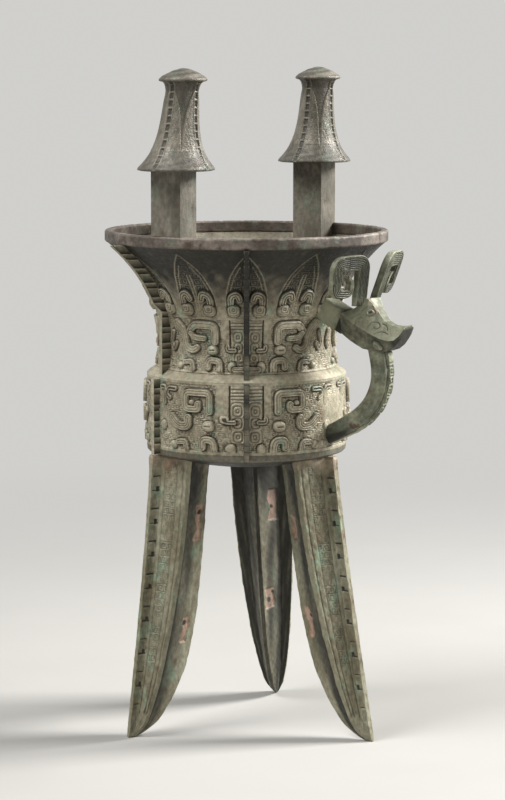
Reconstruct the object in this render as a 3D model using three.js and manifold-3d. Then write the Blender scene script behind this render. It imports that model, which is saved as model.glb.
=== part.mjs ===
import * as THREE from 'three';
import { mergeVertices } from 'three/addons/utils/BufferGeometryUtils.js';
import Module from 'manifold-3d';

// A bronze jia: a tall wine-warming vessel on three blade legs, with two capped posts on its rim and an
// animal-headed handle. Millimetres, +Z up. The handle points along +X and one leg stands below it.

// Heights, stacked up from the floor
const legHeight = 226;
const baseThickness = 5;
const bellyHeight = 57;
const shoulderHeight = 6;
const neckHeight = 100;
const collarHeight = 9;
const postHeight = 50;
const capFlareHeight = 70;
const capDomeHeight = 10;

// Radii and walls of the vessel
const bellyRadius = 80;
const bellyBulge = 1;
const bellyWall = 4;
const neckWaistInset = 10;
const neckFootSpread = 2.8;
const neckWaistRise = 17;
const neckFlare = 42.6;
const neckFlareExponent = 2.35;
const neckWall = 4.2;
const collarProud = 0.8;
const collarThickness = 6;

// Vertical flanges, turned a little against the legs as on the cast vessel
const flangeThickness = 4.4;
const flangeTurn = 4;
const neckFlangeReach = 9.8;
const neckFlangeProud = 8.4;
const neckFlangeStep = 46;
const bellyFlangeReach = 6;
const bellyFlangeDrop = 4;
const bellyFlangeMargin = 0.6;

// Raised forms of the masks on belly and neck, drawn on one half of a mask. Points and half widths are in
// hundredths: across, of the sixth of a turn from the nose flange to the next; up, of the mask's height.
const maskSkew = 5.4;
const maskRoot = 1;
const maskRise = 2.6;
const eyeRise = 3.8;
const bossCorner = 0.45;
const bellyMask = [
  { route: [[29, 63], [29, 86], [51.5, 86], [51.5, 64], [41, 64]], halfWidth: 6.1, rise: maskRise },
  { route: [[49.5, 51], [52, 37.5], [64.5, 36], [70, 48]], halfWidth: 4.9, rise: maskRise },
  { route: [[25, 5], [26, 21.5], [36.5, 21.5], [36.5, 10.5]], halfWidth: 4.6, rise: maskRise },
  { boss: [30.5, 40], half: [5.5, 7.5], rise: eyeRise },
];
const neckMask = [
  { route: [[34, 55.5], [34, 81.5], [60, 82], [64, 72]], halfWidth: 7.4, rise: maskRise },
  { route: [[47.5, 59.5], [60, 60.5]], halfWidth: 4.8, rise: maskRise },
  { route: [[82, 85], [72.5, 72], [70, 45], [62, 38], [56.5, 43.5]], halfWidth: 6.5, rise: maskRise },
  { route: [[28.5, 4.5], [29, 22.5], [41.5, 22.5], [41.5, 12]], halfWidth: 5.4, rise: maskRise },
  { boss: [37, 42], half: [5.6, 8.3], rise: eyeRise },
];
const noseKnob = { boss: [14, 10], half: [3.8, 6.4], rise: maskRise };
const leafFoot = { boss: [12.2, 110], half: [5.1, 10.4], rise: maskRise };
const leafPlaces = 12;

// Posts and their caps
const postWidth = 28;
const postDepth = 22;
const postInset = 13.2;
const postFootRise = 42;
const tenonSide = 14;
const tenonHeight = 12;
const capBaseRadius = 30;
const capWaistRadius = 12.8;
const capFlareLength = 16.5;
const capEdgeHeight = 2;
const capNeckTop = 62;
const capDiscRadius = 18;
const capLeans = [4, 8];
const capShifts = [0, 2.3];

// Legs, spaced by eye as on the cast vessel; their feet stand a little towards the handle
const legAngles = [0, 114, 240];
const stanceShift = 8;
const legTopProud = 4.5;
const legSplay = 28.5;
const legBow = 1.2;
const legTopWidth = 51;
const legTaper = 2.6;
const legDepth = 50;
const legDepthTaper = 5;
const ribTopDepth = 30;
const ribChamferDrop = 41;
const ribRootHalfWidth = 8.5;
const ribRidgeHalfWidth = 1.5;
const spineHalfWidth = 2.7;
const spineProud = 8;
const wingSetback = 19.5;
const wingThickness = 4;
const footLength = 14;
const footHalfWidth = 2.6;
const footSpineProud = 4;
const footWingSetback = 7;
const footWingThickness = 2;
const coreReach = 0.72;
const coreWall = 3;
const coreRidgeWall = 6;

// Handle: reaches are measured out from the head's back, rises up from the neck's foot
const armWidth = 16;
const armHeight = 19;
const armRise = 54;
const headBackRise = 30;
const headBackHeight = 19.5;
const headLength = 55.5;
const headWidth = 28;
const headBevel = 2.5;
const foreheadRise = 59.6;
const foreheadLength = 8;
const browRun = 7;
const browDrop = 6;
const chinRise = 20;
const chinSetback = 4;
const muzzleRun = 4;
const muzzleHeight = 13;
const lipRise = 40.5;
const lipLength = 9;
const lipDip = 0.5;
const bridgeSetback = 17.5;
const bridgeRise = 2;
const strapThickness = 14;
const strapWidth = 15;
const strapReach = 32;
const strapLean = 2.5;
const strapDrop = 15;
const strapFootRise = 10;
const strapRound = 3;
const strapSteps = 18;
const hornWidth = 46;
const hornHeight = 36;
const hornThickness = 6;
const hornSweep = 14;
const hornForward = 11;
const hornOutward = 6;
const hornBand = 13;
const hornOuterBand = 9;
const hornLowBand = 8;
const hornCorner = 9;
const hornStemWidth = 11;
const hornStemRise = 1;
const hornFaceReach = 24;
const hornGap = 6.18;
const hornRootOffset = 7;
const hornCurveSegments = 5;

// Gap between neighbouring pieces, and the fineness of the turned walls
const clearance = 0.3;
const turnSegments = 60;
const capSegments = 32;
const capLevels = [0, 0.07, 0.18, 0.36, 0.62, 1];
const legLevels = [0, 0.1, 0.19, 0.35, 0.5, 0.63, 0.75, 0.86, 0.94, 1];
const coreLevels = [0, 0.19, 0.46, coreReach];

// Levels and radii worked out from the sizes above
const bellyFoot = legHeight + baseThickness;
const bellyTop = bellyFoot + bellyHeight;
const neckFoot = bellyTop + shoulderHeight;
const neckTop = neckFoot + neckHeight;
const rimTop = neckTop + collarHeight;
const postTop = rimTop + postHeight;
const neckWaist = neckFoot + neckWaistRise;
const neckWaistRadius = bellyRadius - neckWaistInset;
const neckFootRadius = neckWaistRadius + neckFootSpread;
const neckTopRadius = neckWaistRadius + neckFlare;
const collarRadius = neckTopRadius + collarProud;
const postCentreRadius = collarRadius - postInset;
const legTopRadius = bellyRadius + legTopProud;
const neckFlangeEdge = neckWaistRadius + neckFlangeProud;
const noseAngles = [1, 3, 5].map((place) => 60 * place + flangeTurn);

// Outer radius of the neck: a foot that draws in to the waist, then the trumpet flare.
function neckRadius(z) {
  if (z < neckWaist) {
    return neckWaistRadius + neckFootSpread * ((neckWaist - z) / neckWaistRise) ** 2;
  }
  const rise = (z - neckWaist) / (neckTop - neckWaist);
  return neckWaistRadius + neckFlare * rise ** neckFlareExponent;
}

// The horns stand clear of the flare, and the head and strap are placed from them.
const foreheadHeight = neckFoot + foreheadRise;
const hornTop = foreheadHeight + clearance + hornHeight;
const hornFaceRadius = neckRadius(hornTop) + hornGap + hornThickness;
const headBackRadius = hornFaceRadius - hornFaceReach;
const headBackBottom = neckFoot + headBackRise;
const chinHeight = neckFoot + chinRise;
const lipRadius = headBackRadius + headLength;
const lipHeight = neckFoot + lipRise;
const strapRadius = headBackRadius + strapReach;
const strapFootHeight = bellyFoot + strapFootRise;

const bronze = new THREE.MeshStandardMaterial({ color: 0x7f7a66, roughness: 0.6, metalness: 0.7 });
const rimBronze = new THREE.MeshStandardMaterial({ color: 0x7d726a, roughness: 0.55, metalness: 0.7 });
const postBronze = new THREE.MeshStandardMaterial({ color: 0x6d6759, roughness: 0.5, metalness: 0.75 });
const legBronze = new THREE.MeshStandardMaterial({ color: 0x7f7d66, roughness: 0.62, metalness: 0.65 });
const handleBronze = new THREE.MeshStandardMaterial({ color: 0x747860, roughness: 0.5, metalness: 0.7 });
const coreClay = new THREE.MeshStandardMaterial({ color: 0xc79a86, roughness: 0.95, metalness: 0 });

const wasm = await Module();
wasm.setup();

// Merges shared vertices, drops empty triangles and turns the faces outwards.
function weld(geometry) {
  const bare = geometry.clone();
  bare.deleteAttribute('normal');
  bare.deleteAttribute('uv');
  const merged = mergeVertices(bare, 1e-4);
  const place = merged.attributes.position;
  const kept = [];
  let volume = 0;
  const corner = [new THREE.Vector3(), new THREE.Vector3(), new THREE.Vector3()];
  for (let i = 0; i < merged.index.count; i += 3) {
    const ids = [0, 1, 2].map((k) => merged.index.getX(i + k));
    if (new Set(ids).size < 3) continue;
    ids.forEach((id, k) => corner[k].fromBufferAttribute(place, id));
    volume += corner[0].dot(corner[1].clone().cross(corner[2]));
    kept.push(ids);
  }
  if (volume < 0) kept.forEach((ids) => ids.reverse());
  merged.setIndex(kept.flat());
  return merged;
}

function toSolid(geometry) {
  const welded = weld(geometry);
  return new wasm.Manifold(new wasm.Mesh({
    numProp: 3,
    vertProperties: new Float32Array(welded.attributes.position.array),
    triVerts: new Uint32Array(welded.index.array),
  }));
}

function toGeometry(solid) {
  const mesh = solid.getMesh();
  const geometry = new THREE.BufferGeometry();
  geometry.setAttribute('position', new THREE.BufferAttribute(mesh.vertProperties, 3));
  geometry.setIndex(new THREE.BufferAttribute(mesh.triVerts, 1));
  return geometry;
}

function cut(geometry, ...tools) {
  const solid = tools.reduce((rest, tool) => rest.subtract(toSolid(tool)), toSolid(geometry));
  return toGeometry(solid);
}

function join(geometry, forms) {
  const solid = forms.reduce((whole, form) => whole.add(toSolid(form)), toSolid(geometry));
  return toGeometry(solid);
}

// A solid of revolution about +Z from [radius, height] points.
function turned(points, segments = turnSegments) {
  const profile = points.map(([radius, height]) => new THREE.Vector2(radius, height));
  return new THREE.LatheGeometry(profile, segments).rotateX(Math.PI / 2);
}

function closedRing(points) {
  return turned([...points, points[0]]);
}

// A plate in the plane of +X and +Z, centred on that plane.
function plate(points, thickness, bevel = 0) {
  const outline = new THREE.Shape(points.map(([r, z]) => new THREE.Vector2(r, z)));
  const depth = thickness - 2 * bevel;
  const geometry = new THREE.ExtrudeGeometry(outline, {
    depth,
    bevelEnabled: bevel > 0,
    bevelThickness: bevel,
    bevelSize: bevel,
    bevelOffset: -bevel,
    bevelSegments: 1,
  });
  return geometry.translate(0, 0, -depth / 2).rotateX(Math.PI / 2);
}

// A skin through closed rings with the same number of points, closed at both ends.
function loft(rings) {
  const count = rings[0].length;
  const positions = rings.flat().flatMap((p) => [p.x, p.y, p.z]);
  const index = [];
  for (let ring = 0; ring + 1 < rings.length; ring += 1) {
    for (let k = 0; k < count; k += 1) {
      const a = ring * count + k;
      const b = ring * count + ((k + 1) % count);
      index.push(a, b, a + count, b, b + count, a + count);
    }
  }
  const flat = (ring) => ring.map((p) => new THREE.Vector2(p.x, p.y));
  const last = (rings.length - 1) * count;
  THREE.ShapeUtils.triangulateShape(flat(rings[0]), []).forEach(([a, b, c]) => index.push(a, c, b));
  THREE.ShapeUtils.triangulateShape(flat(rings.at(-1)), []).forEach(([a, b, c]) => {
    index.push(last + a, last + b, last + c);
  });
  const geometry = new THREE.BufferGeometry();
  geometry.setAttribute('position', new THREE.Float32BufferAttribute(positions, 3));
  geometry.setIndex(index);
  return weld(geometry);
}

function steps(from, to, count) {
  return Array.from({ length: count + 1 }, (_, i) => from + ((to - from) * i) / count);
}

const vessel = new THREE.Group();
const upward = new THREE.Vector3(0, 0, 1);

function add(name, geometry, material, parent = vessel) {
  const mesh = new THREE.Mesh(geometry, material);
  mesh.name = name;
  parent.add(mesh);
  return mesh;
}

function turnedGroup(degrees) {
  const group = new THREE.Group();
  group.rotation.z = THREE.MathUtils.degToRad(degrees);
  vessel.add(group);
  return group;
}

function bellyOuterRadius(z) {
  const offset = (z - (bellyFoot + bellyTop) / 2) / (bellyHeight / 2);
  return bellyRadius + bellyBulge * (1 - offset ** 2);
}

const neckLevels = [
  ...steps(neckFoot, neckWaist, 2),
  ...steps(neckWaist, neckTop, 8).slice(1),
];
const bellyLevels = steps(bellyFoot, bellyTop, 4);

function neckProfile(extra) {
  return neckLevels.map((z) => [neckRadius(z) + extra, z]);
}

function bellyProfile(extra) {
  return bellyLevels.map((z) => [bellyOuterRadius(z) + extra, z]);
}

// The outline of a band of even width along a route, with mitred corners.
function bandOutline(route, halfWidth) {
  const points = route.map(([x, y]) => new THREE.Vector2(x, y));
  const along = points.slice(1).map((p, i) => p.clone().sub(points[i]).normalize());
  const edge = (side) => points.map((p, i) => {
    const before = along[Math.max(i - 1, 0)];
    const after = along[Math.min(i, along.length - 1)];
    const mean = before.clone().add(after).normalize();
    const reach = (side * halfWidth) / mean.dot(before);
    return [p.x - mean.y * reach, p.y + mean.x * reach];
  });
  return [...edge(1), ...edge(-1).reverse()];
}

function bossOutline([x, y], [halfX, halfY]) {
  const cornerX = halfX * (1 - bossCorner);
  const cornerY = halfY * (1 - bossCorner);
  const quarter = [[halfX, -cornerY], [halfX, cornerY], [cornerX, halfY], [-cornerX, halfY]];
  const opposite = quarter.map(([dx, dy]) => [-dx, -dy]);
  return [...quarter, ...opposite].map(([dx, dy]) => [x + dx, y + dy]);
}

// A raised form of a mask: a flat outline wrapped round the wall, from inside its surface to its rise.
function raisedForm(form, nose, side, skew, field) {
  const { foot, height, wrapRadius, wallRadius } = field;
  const scaled = ([x, y]) => [((x + skew) / 100) * wrapRadius * (Math.PI / 3), (y / 100) * height];
  const outline = form.route
    ? bandOutline(form.route.map(scaled), (form.halfWidth / 100) * height)
    : bossOutline(form.boss, form.half).map(scaled);
  const shape = new THREE.Shape(outline.map(([x, y]) => new THREE.Vector2(x, y)));
  const depth = maskRoot + form.rise;
  const geometry = new THREE.ExtrudeGeometry(shape, { depth, bevelEnabled: false });
  const place = geometry.attributes.position;
  for (let i = 0; i < place.count; i += 1) {
    const z = foot + place.getY(i);
    const angle = THREE.MathUtils.degToRad(nose) + (side * place.getX(i)) / wrapRadius;
    const radius = wallRadius(z) - maskRoot + place.getZ(i);
    place.setXYZ(i, radius * Math.cos(angle), radius * Math.sin(angle), z);
  }
  return geometry;
}

// Vessel walls: floor, belly with its sloped shoulder, flared neck and rim collar
function addVesselWalls() {
  add('floor_plate', turned([
    [0, legHeight],
    [bellyRadius, legHeight],
    [bellyRadius, bellyFoot],
    [0, bellyFoot],
  ]), bronze);

  const shoulderInner = neckFootRadius - neckWall;
  const bellyShell = closedRing([
    ...bellyProfile(0),
    [neckFootRadius, neckFoot],
    [shoulderInner, neckFoot],
    [shoulderInner, neckFoot - bellyWall],
    ...bellyProfile(-bellyWall).reverse().map(([r, z]) => [r, Math.min(z, bellyTop - bellyWall)]),
  ]);
  const bellyField = {
    foot: bellyFoot,
    height: bellyHeight,
    wrapRadius: bellyRadius,
    wallRadius: bellyOuterRadius,
  };
  const bellyForms = noseAngles.flatMap((nose) => [1, -1].flatMap((side) => [
    raisedForm(noseKnob, nose, side, 0, bellyField),
    ...bellyMask.map((form) => raisedForm(form, nose, side, side < 0 ? maskSkew : 0, bellyField)),
  ]));
  add('belly_wall', join(bellyShell, bellyForms), bronze);

  const neckShell = closedRing([...neckProfile(0), ...neckProfile(-neckWall).reverse()]);
  const neckField = {
    foot: neckFoot,
    height: neckFlangeStep,
    wrapRadius: neckWaistRadius,
    wallRadius: neckRadius,
  };
  const neckForms = noseAngles.flatMap((nose) => [1, -1].flatMap((side) => (
    [noseKnob, ...neckMask].map((form) => raisedForm(form, nose, side, 0, neckField))
  )));
  const leafAngles = steps(flangeTurn, flangeTurn + 360, leafPlaces).slice(1, -1);
  const leafForms = leafAngles.flatMap((leaf) => [1, -1].map((side) => (
    raisedForm(leafFoot, leaf, side, 0, neckField)
  )));
  add('neck_wall', join(neckShell, [...neckForms, ...leafForms]), bronze);

  const collarInner = collarRadius - collarThickness;
  add('rim_collar', closedRing([
    [collarRadius, neckTop],
    [collarRadius, rimTop],
    [collarInner, rimTop],
    [collarInner, neckTop],
  ]), rimBronze);
}

// Flanges on a sixth-turn grid; the handle takes the first place.
function addFlanges() {
  const stepHeight = neckFoot + neckFlangeStep;
  const flareLevels = neckLevels.filter((z) => z > stepHeight);
  const shoulderSlope = shoulderHeight / (bellyRadius - neckFootRadius);
  const edge = [
    [neckFlangeEdge, neckFoot + 2 * clearance - shoulderSlope * (neckFlangeEdge - neckFootRadius)],
    [neckFlangeEdge, stepHeight],
    [neckRadius(stepHeight) + neckFlangeReach, stepHeight],
    ...flareLevels.map((z) => [neckRadius(z) + neckFlangeReach, z - clearance]),
  ];
  const wallSide = neckLevels.map((z) => [
    neckRadius(z) + clearance,
    THREE.MathUtils.clamp(z, neckFoot + clearance, neckTop - clearance),
  ]);
  const neckOutline = [...edge, ...wallSide.reverse()];

  const low = bellyFoot - bellyFlangeDrop;
  const high = bellyTop - bellyFlangeMargin;
  const bellySide = [low, ...bellyLevels.slice(0, -1), high].map((z) => [
    Math.max(bellyOuterRadius(z), bellyRadius) + clearance,
    z,
  ]);
  const bellyOutline = [
    [bellyRadius + bellyFlangeReach, low],
    [bellyRadius + bellyFlangeReach, high],
    ...bellySide.reverse(),
  ];
  for (let place = 1; place < 6; place += 1) {
    const group = turnedGroup(60 * place + flangeTurn);
    add(`neck_flange_${place}`, plate(neckOutline, flangeThickness), bronze, group);
    add(`belly_flange_${place}`, plate(bellyOutline, flangeThickness), bronze, group);
  }
}

// A square post straddles the rim and runs down the inside of the flare; its tenon carries the cap.
function addPosts() {
  const innerWall = neckProfile(-neckWall - clearance).filter(([, z]) => z > neckWaist);
  const collarInner = collarRadius - collarThickness - clearance;
  const beyond = collarRadius + postWidth;
  const rimTool = closedRing([
    ...innerWall,
    [collarInner, neckTop],
    [collarInner, rimTop + clearance],
    [beyond, rimTop + clearance],
    [beyond, innerWall[0][1]],
  ]);
  const postFoot = neckFoot + postFootRise;
  const postLength = postTop - postFoot;
  const blank = new THREE.BoxGeometry(postDepth, postWidth, postLength)
    .translate(postCentreRadius, 0, postFoot + postLength / 2);
  const tenon = new THREE.BoxGeometry(tenonSide, tenonSide, tenonHeight)
    .translate(postCentreRadius, 0, postTop + tenonHeight / 2);
  const post = toGeometry(toSolid(blank).add(toSolid(tenon)).subtract(toSolid(rimTool)));

  const capHeight = capFlareHeight + capDomeHeight;
  const capSpread = capBaseRadius - capWaistRadius;
  const flare = (h) => capWaistRadius + capSpread * Math.exp((capEdgeHeight - h) / capFlareLength);
  const dome = steps(0, Math.PI / 2, 4).map((angle) => [
    capDiscRadius * Math.cos(angle),
    capFlareHeight + capDomeHeight * Math.sin(angle),
  ]);
  dome[dome.length - 1][0] = 0;
  const cap = turned([
    [0, 0],
    [capBaseRadius, 0],
    ...capLevels.map((t) => {
      const h = capEdgeHeight + (capNeckTop - capEdgeHeight) * t;
      return [flare(h), h];
    }),
    ...dome,
  ], capSegments);
  const socketSide = tenonSide + 2 * clearance;
  const socketHeight = tenonHeight + clearance;
  const socket = new THREE.BoxGeometry(socketSide, socketSide, 2 * socketHeight);
  [1, -1].forEach((side, i) => {
    add(`post_${i + 1}`, post, postBronze, turnedGroup(90 * side));
    const towardsHandle = new THREE.Matrix4().makeShear(0, 0, 0, 0, capLeans[i] / capHeight, 0);
    const leaning = cap.clone().applyMatrix4(towardsHandle).translate(capShifts[i], 0, 0);
    const capMesh = add(`post_cap_${i + 1}`, cut(leaning, socket), postBronze);
    capMesh.position.set(0, side * postCentreRadius, postTop + clearance);
  });
}

// Leg sections, from the top (0) to the foot (1). Radii are measured back from the spine's outer edge.
function legSection(t, turn) {
  const fullness = 1 - t ** legTaper;
  const mix = (foot, top) => foot + (top - foot) * fullness;
  const taperedDepth = footLength + (legDepth - footLength) * (1 - t ** legDepthTaper);
  const chamferedDepth = ribTopDepth + ((legDepth - ribTopDepth) * t * legHeight) / ribChamferDrop;
  return {
    turn,
    shift: stanceShift * t,
    edge: legTopRadius + legSplay * t ** legBow,
    height: (legHeight - clearance) * (1 - t),
    spine: mix(footHalfWidth, spineHalfWidth),
    proud: mix(footSpineProud, spineProud),
    setback: mix(footWingSetback, wingSetback),
    wing: mix(footWingThickness, wingThickness),
    half: mix(footHalfWidth, legTopWidth / 2),
    root: mix(footHalfWidth, ribRootHalfWidth),
    depth: Math.min(taperedDepth, chamferedDepth),
  };
}

function ring(section, halfOutline) {
  const mirrored = halfOutline.slice().reverse().filter(([, y]) => y > 0).map(([back, y]) => [back, -y]);
  const shift = new THREE.Vector3(section.shift, 0, section.height);
  return [...halfOutline, ...mirrored].map(([back, y]) => (
    new THREE.Vector3(section.edge - back, y, 0).applyAxisAngle(upward, section.turn).add(shift)
  ));
}

function legRing(t, turn) {
  const s = legSection(t, turn);
  const back = s.setback + s.wing;
  return ring(s, [
    [0, s.spine],
    [s.proud, s.spine],
    [s.setback, s.half],
    [back, s.half],
    [back + s.wing / 2, s.root],
    [s.depth, ribRidgeHalfWidth],
  ]);
}

function coreRing(t, turn, slack, lift = 0) {
  const s = legSection(t, turn);
  s.height += lift;
  return ring(s, [
    [s.proud + coreWall + 2 * slack, 0],
    [s.setback, s.root - coreWall - slack],
    [s.depth - coreRidgeWall - 5 * slack, 0],
  ]);
}

function addLegs() {
  const last = coreLevels.length - 1;
  legAngles.forEach((degrees, i) => {
    const turn = THREE.MathUtils.degToRad(degrees);
    const outer = loft(legLevels.map((t) => legRing(t, turn)));
    const lift = (level, lifted) => (level === lifted ? clearance : 0);
    const cavity = loft(coreLevels.map((t, level) => coreRing(t, turn, 0, lift(level, 0))));
    const core = loft(coreLevels.map((t, level) => coreRing(t, turn, clearance, lift(level, last))));
    add(`leg_${i + 1}`, cut(outer, cavity), legBronze);
    add(`leg_core_${i + 1}`, core, coreClay);
  });
}

// Handle: an arm off the neck, an animal head with two horns, and a strap down to the belly
function addHandle() {
  const armStart = neckFoot + armRise;
  const armEnd = headBackBottom + headBackHeight / 2;
  const arm = plate([
    [neckWaistRadius - neckWall, armStart - armHeight / 2],
    [headBackRadius - clearance, armEnd - armHeight / 2],
    [headBackRadius - clearance, armEnd + armHeight / 2],
    [neckWaistRadius - neckWall, armStart + armHeight / 2],
  ], armWidth);
  const neckTool = turned([[0, neckFoot], ...neckProfile(clearance), [0, neckTop]]);
  add('handle_arm', cut(arm, neckTool), handleBronze);

  const strapBack = strapRadius - strapThickness / 2;
  const strapFront = strapRadius + strapThickness / 2;
  add('animal_head', plate([
    [headBackRadius, headBackBottom],
    [strapBack - headBevel, chinHeight],
    [strapFront + headBevel - chinSetback, chinHeight],
    [lipRadius - muzzleRun, chinHeight + muzzleHeight],
    [lipRadius, lipHeight],
    [lipRadius - lipLength, lipHeight - lipDip],
    [lipRadius - bridgeSetback, lipHeight + bridgeRise],
    [hornFaceRadius + browRun, foreheadHeight - browDrop],
    [hornFaceRadius, foreheadHeight],
    [hornFaceRadius - foreheadLength, foreheadHeight],
    [headBackRadius, headBackBottom + headBackHeight],
  ], headWidth, headBevel), handleBronze);

  const strapTop = chinHeight - clearance;
  const route = new THREE.CatmullRomCurve3([
    new THREE.Vector3(strapRadius - 2 * strapLean, 0, strapTop + strapThickness / 2),
    new THREE.Vector3(strapRadius, 0, strapTop - strapDrop),
    new THREE.Vector3(strapRadius - strapLean, 0, strapTop - 2 * strapDrop),
    new THREE.Vector3((strapRadius + bellyRadius) / 2, 0, strapFootHeight + strapDrop),
    new THREE.Vector3(bellyRadius - bellyWall, 0, strapFootHeight),
  ]);
  const halfThick = strapThickness / 2;
  const halfWide = strapWidth / 2;
  const section = new THREE.Shape([
    [halfThick - strapRound, -halfWide],
    [halfThick, strapRound - halfWide],
    [halfThick, halfWide - strapRound],
    [halfThick - strapRound, halfWide],
    [strapRound - halfThick, halfWide],
    [-halfThick, halfWide - strapRound],
    [-halfThick, strapRound - halfWide],
    [strapRound - halfThick, -halfWide],
  ].map(([x, y]) => new THREE.Vector2(x, y)));
  const strap = new THREE.ExtrudeGeometry(section, { steps: strapSteps, extrudePath: route });
  const bellyTool = turned([[0, bellyFoot], ...bellyProfile(clearance), [0, bellyTop]]);
  const chinTool = new THREE.BoxGeometry(4 * strapThickness, 4 * strapWidth, 4 * strapThickness)
    .translate(strapRadius, 0, strapTop + 2 * strapThickness);
  add('handle_strap', cut(strap, bellyTool, chinTool), handleBronze);

  [1, -1].forEach((side) => add(side > 0 ? 'horn_left' : 'horn_right', hornPlate(side), handleBronze));
}

// One horn: a flat scroll with an opening, standing on the forehead and leaning outwards and forwards.
function hornPlate(side) {
  const low = foreheadHeight + clearance;
  const stemTop = low + hornStemRise;
  const outer = hornWidth - hornCorner;
  const outline = new THREE.Shape();
  outline.moveTo(hornRootOffset, low);
  outline.lineTo(hornRootOffset + hornStemWidth, low);
  outline.lineTo(hornRootOffset + hornStemWidth + hornStemRise, stemTop);
  outline.lineTo(outer, stemTop);
  outline.absarc(outer, stemTop + hornCorner, hornCorner, -Math.PI / 2, 0);
  outline.lineTo(hornWidth, hornTop - hornCorner);
  outline.absarc(outer, hornTop - hornCorner, hornCorner, 0, Math.PI / 2);
  outline.lineTo(hornRootOffset + hornCorner, hornTop);
  outline.absarc(hornRootOffset + hornCorner, hornTop - hornCorner, hornCorner, Math.PI / 2, Math.PI);
  outline.closePath();

  const eye = new THREE.Path();
  const eyeInner = hornRootOffset + hornBand;
  const eyeOuter = hornWidth - hornOuterBand;
  const eyeLow = stemTop + hornLowBand;
  const eyeHigh = hornTop - hornBand;
  eye.moveTo(eyeInner, eyeLow);
  eye.lineTo(eyeInner, eyeHigh);
  eye.lineTo(eyeOuter, eyeHigh);
  eye.lineTo(eyeOuter, eyeLow);
  eye.closePath();
  outline.holes.push(eye);

  const flat = new THREE.ExtrudeGeometry(outline, {
    depth: hornThickness,
    bevelEnabled: false,
    curveSegments: hornCurveSegments,
  });
  const lean = new THREE.Matrix4()
    .makeShear(0, 0, hornOutward / hornHeight, -hornForward / hornHeight, 0, 0);
  flat.translate(0, -low, 0).applyMatrix4(lean).translate(0, low, 0);
  const sweep = THREE.MathUtils.degToRad(hornSweep);
  const across = new THREE.Vector3(-Math.sin(sweep), side * Math.cos(sweep), 0);
  const back = new THREE.Vector3(-Math.cos(sweep), -side * Math.sin(sweep), 0);
  const root = new THREE.Vector3(hornFaceRadius, 0, 0);
  const placed = new THREE.Matrix4().makeBasis(across, upward, back).setPosition(root);
  return weld(flat.applyMatrix4(placed));
}

addVesselWalls();
addFlanges();
addPosts();
addLegs();
addHandle();

// The origin lies on the floor, under the middle of the whole object.
const jia = new THREE.Group();
jia.add(vessel);
vessel.updateMatrixWorld(true);
const extent = new THREE.Box3().setFromObject(vessel, true);
const middle = extent.getCenter(new THREE.Vector3());
vessel.position.set(-middle.x, -middle.y, -extent.min.z);

export default jia;
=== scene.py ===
# %% [markdown]
# # A bronze jia
# A jia is a tall wine vessel that stood over a fire on three blade legs. Everything here is one casting
# that nothing can move, so each piece rides on the one body of the CAD frame. The frame gives the sizes:
# a piece is built where its CAD node stands and then carries the ornament that the plain solid leaves out.

import math

import bmesh
import bpy
import numpy as np
from mathutils import Matrix, Vector


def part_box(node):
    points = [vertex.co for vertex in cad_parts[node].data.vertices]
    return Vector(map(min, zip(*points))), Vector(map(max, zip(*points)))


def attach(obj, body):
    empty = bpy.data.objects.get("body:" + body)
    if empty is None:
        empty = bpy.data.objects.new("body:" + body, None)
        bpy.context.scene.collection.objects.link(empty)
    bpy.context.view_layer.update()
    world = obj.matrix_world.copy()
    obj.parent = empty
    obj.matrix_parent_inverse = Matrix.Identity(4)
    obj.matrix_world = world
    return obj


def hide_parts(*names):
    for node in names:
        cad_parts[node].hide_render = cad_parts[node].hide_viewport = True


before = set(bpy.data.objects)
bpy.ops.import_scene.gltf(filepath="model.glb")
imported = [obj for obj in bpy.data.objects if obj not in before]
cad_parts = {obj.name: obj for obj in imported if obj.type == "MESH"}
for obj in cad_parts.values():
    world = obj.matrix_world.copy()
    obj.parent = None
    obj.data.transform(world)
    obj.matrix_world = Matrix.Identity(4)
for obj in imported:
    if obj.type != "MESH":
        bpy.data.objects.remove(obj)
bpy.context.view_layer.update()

MM = 0.001
collar_low, collar_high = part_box("rim_collar")
AXIS_X = (collar_low.x + collar_high.x) / 2 / MM
BELLY_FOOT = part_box("belly_wall")[0].z / MM
NECK_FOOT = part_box("neck_wall")[0].z / MM
NECK_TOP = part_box("neck_wall")[1].z / MM
RIM_TOP = collar_high.z / MM
LEG_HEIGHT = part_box("floor_plate")[0].z / MM
COLLAR_RADIUS = (collar_high.x - collar_low.x) / 2 / MM
print("vessel axis at x", round(AXIS_X, 2), "mm; rim at", round(RIM_TOP, 1), "mm")

# %% [markdown]
# ## Small tools
# The vessel is covered in cast relief: bold masks standing on a ground of fine square spirals. Relief this
# fine could be a displacement modifier with a texture, but then the shape would depend on the texture's
# resolution. Here a plain grid is made by Blender and its vertices are moved by a formula, so that the
# relief is real geometry, sharp at every size, and the height is kept as an attribute for the paint.

# %% Make and finish a piece
def finish(obj, material, slot, *nodes):
    """Gives a finished piece its material, its body and the CAD nodes that it stands for; slot is not used.
    """
    obj.data.materials.append(material)
    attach(obj, "root")
    if nodes:
        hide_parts(*nodes)
    print(obj.name, len(obj.data.polygons), "faces")
    return obj


def object_from(name, bm, smooth=True):
    """Turns a bmesh, in millimetres about the vessel's axis, into an object in metres in the CAD frame."""
    bmesh.ops.transform(bm, matrix=Matrix.Translation((AXIS_X, 0, 0)), verts=bm.verts)
    bmesh.ops.scale(bm, vec=(MM, MM, MM), verts=bm.verts)
    mesh = bpy.data.meshes.new(name)
    bm.to_mesh(mesh)
    bm.free()
    mesh.polygons.foreach_set("use_smooth", [smooth] * len(mesh.polygons))
    obj = bpy.data.objects.new(name, mesh)
    bpy.context.scene.collection.objects.link(obj)
    return obj


print("pieces are drawn in millimetres;", 1 / MM, "of them are a metre")

# %% A sheet moved by a formula
MERGE_DISTANCE = 0.002


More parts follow.
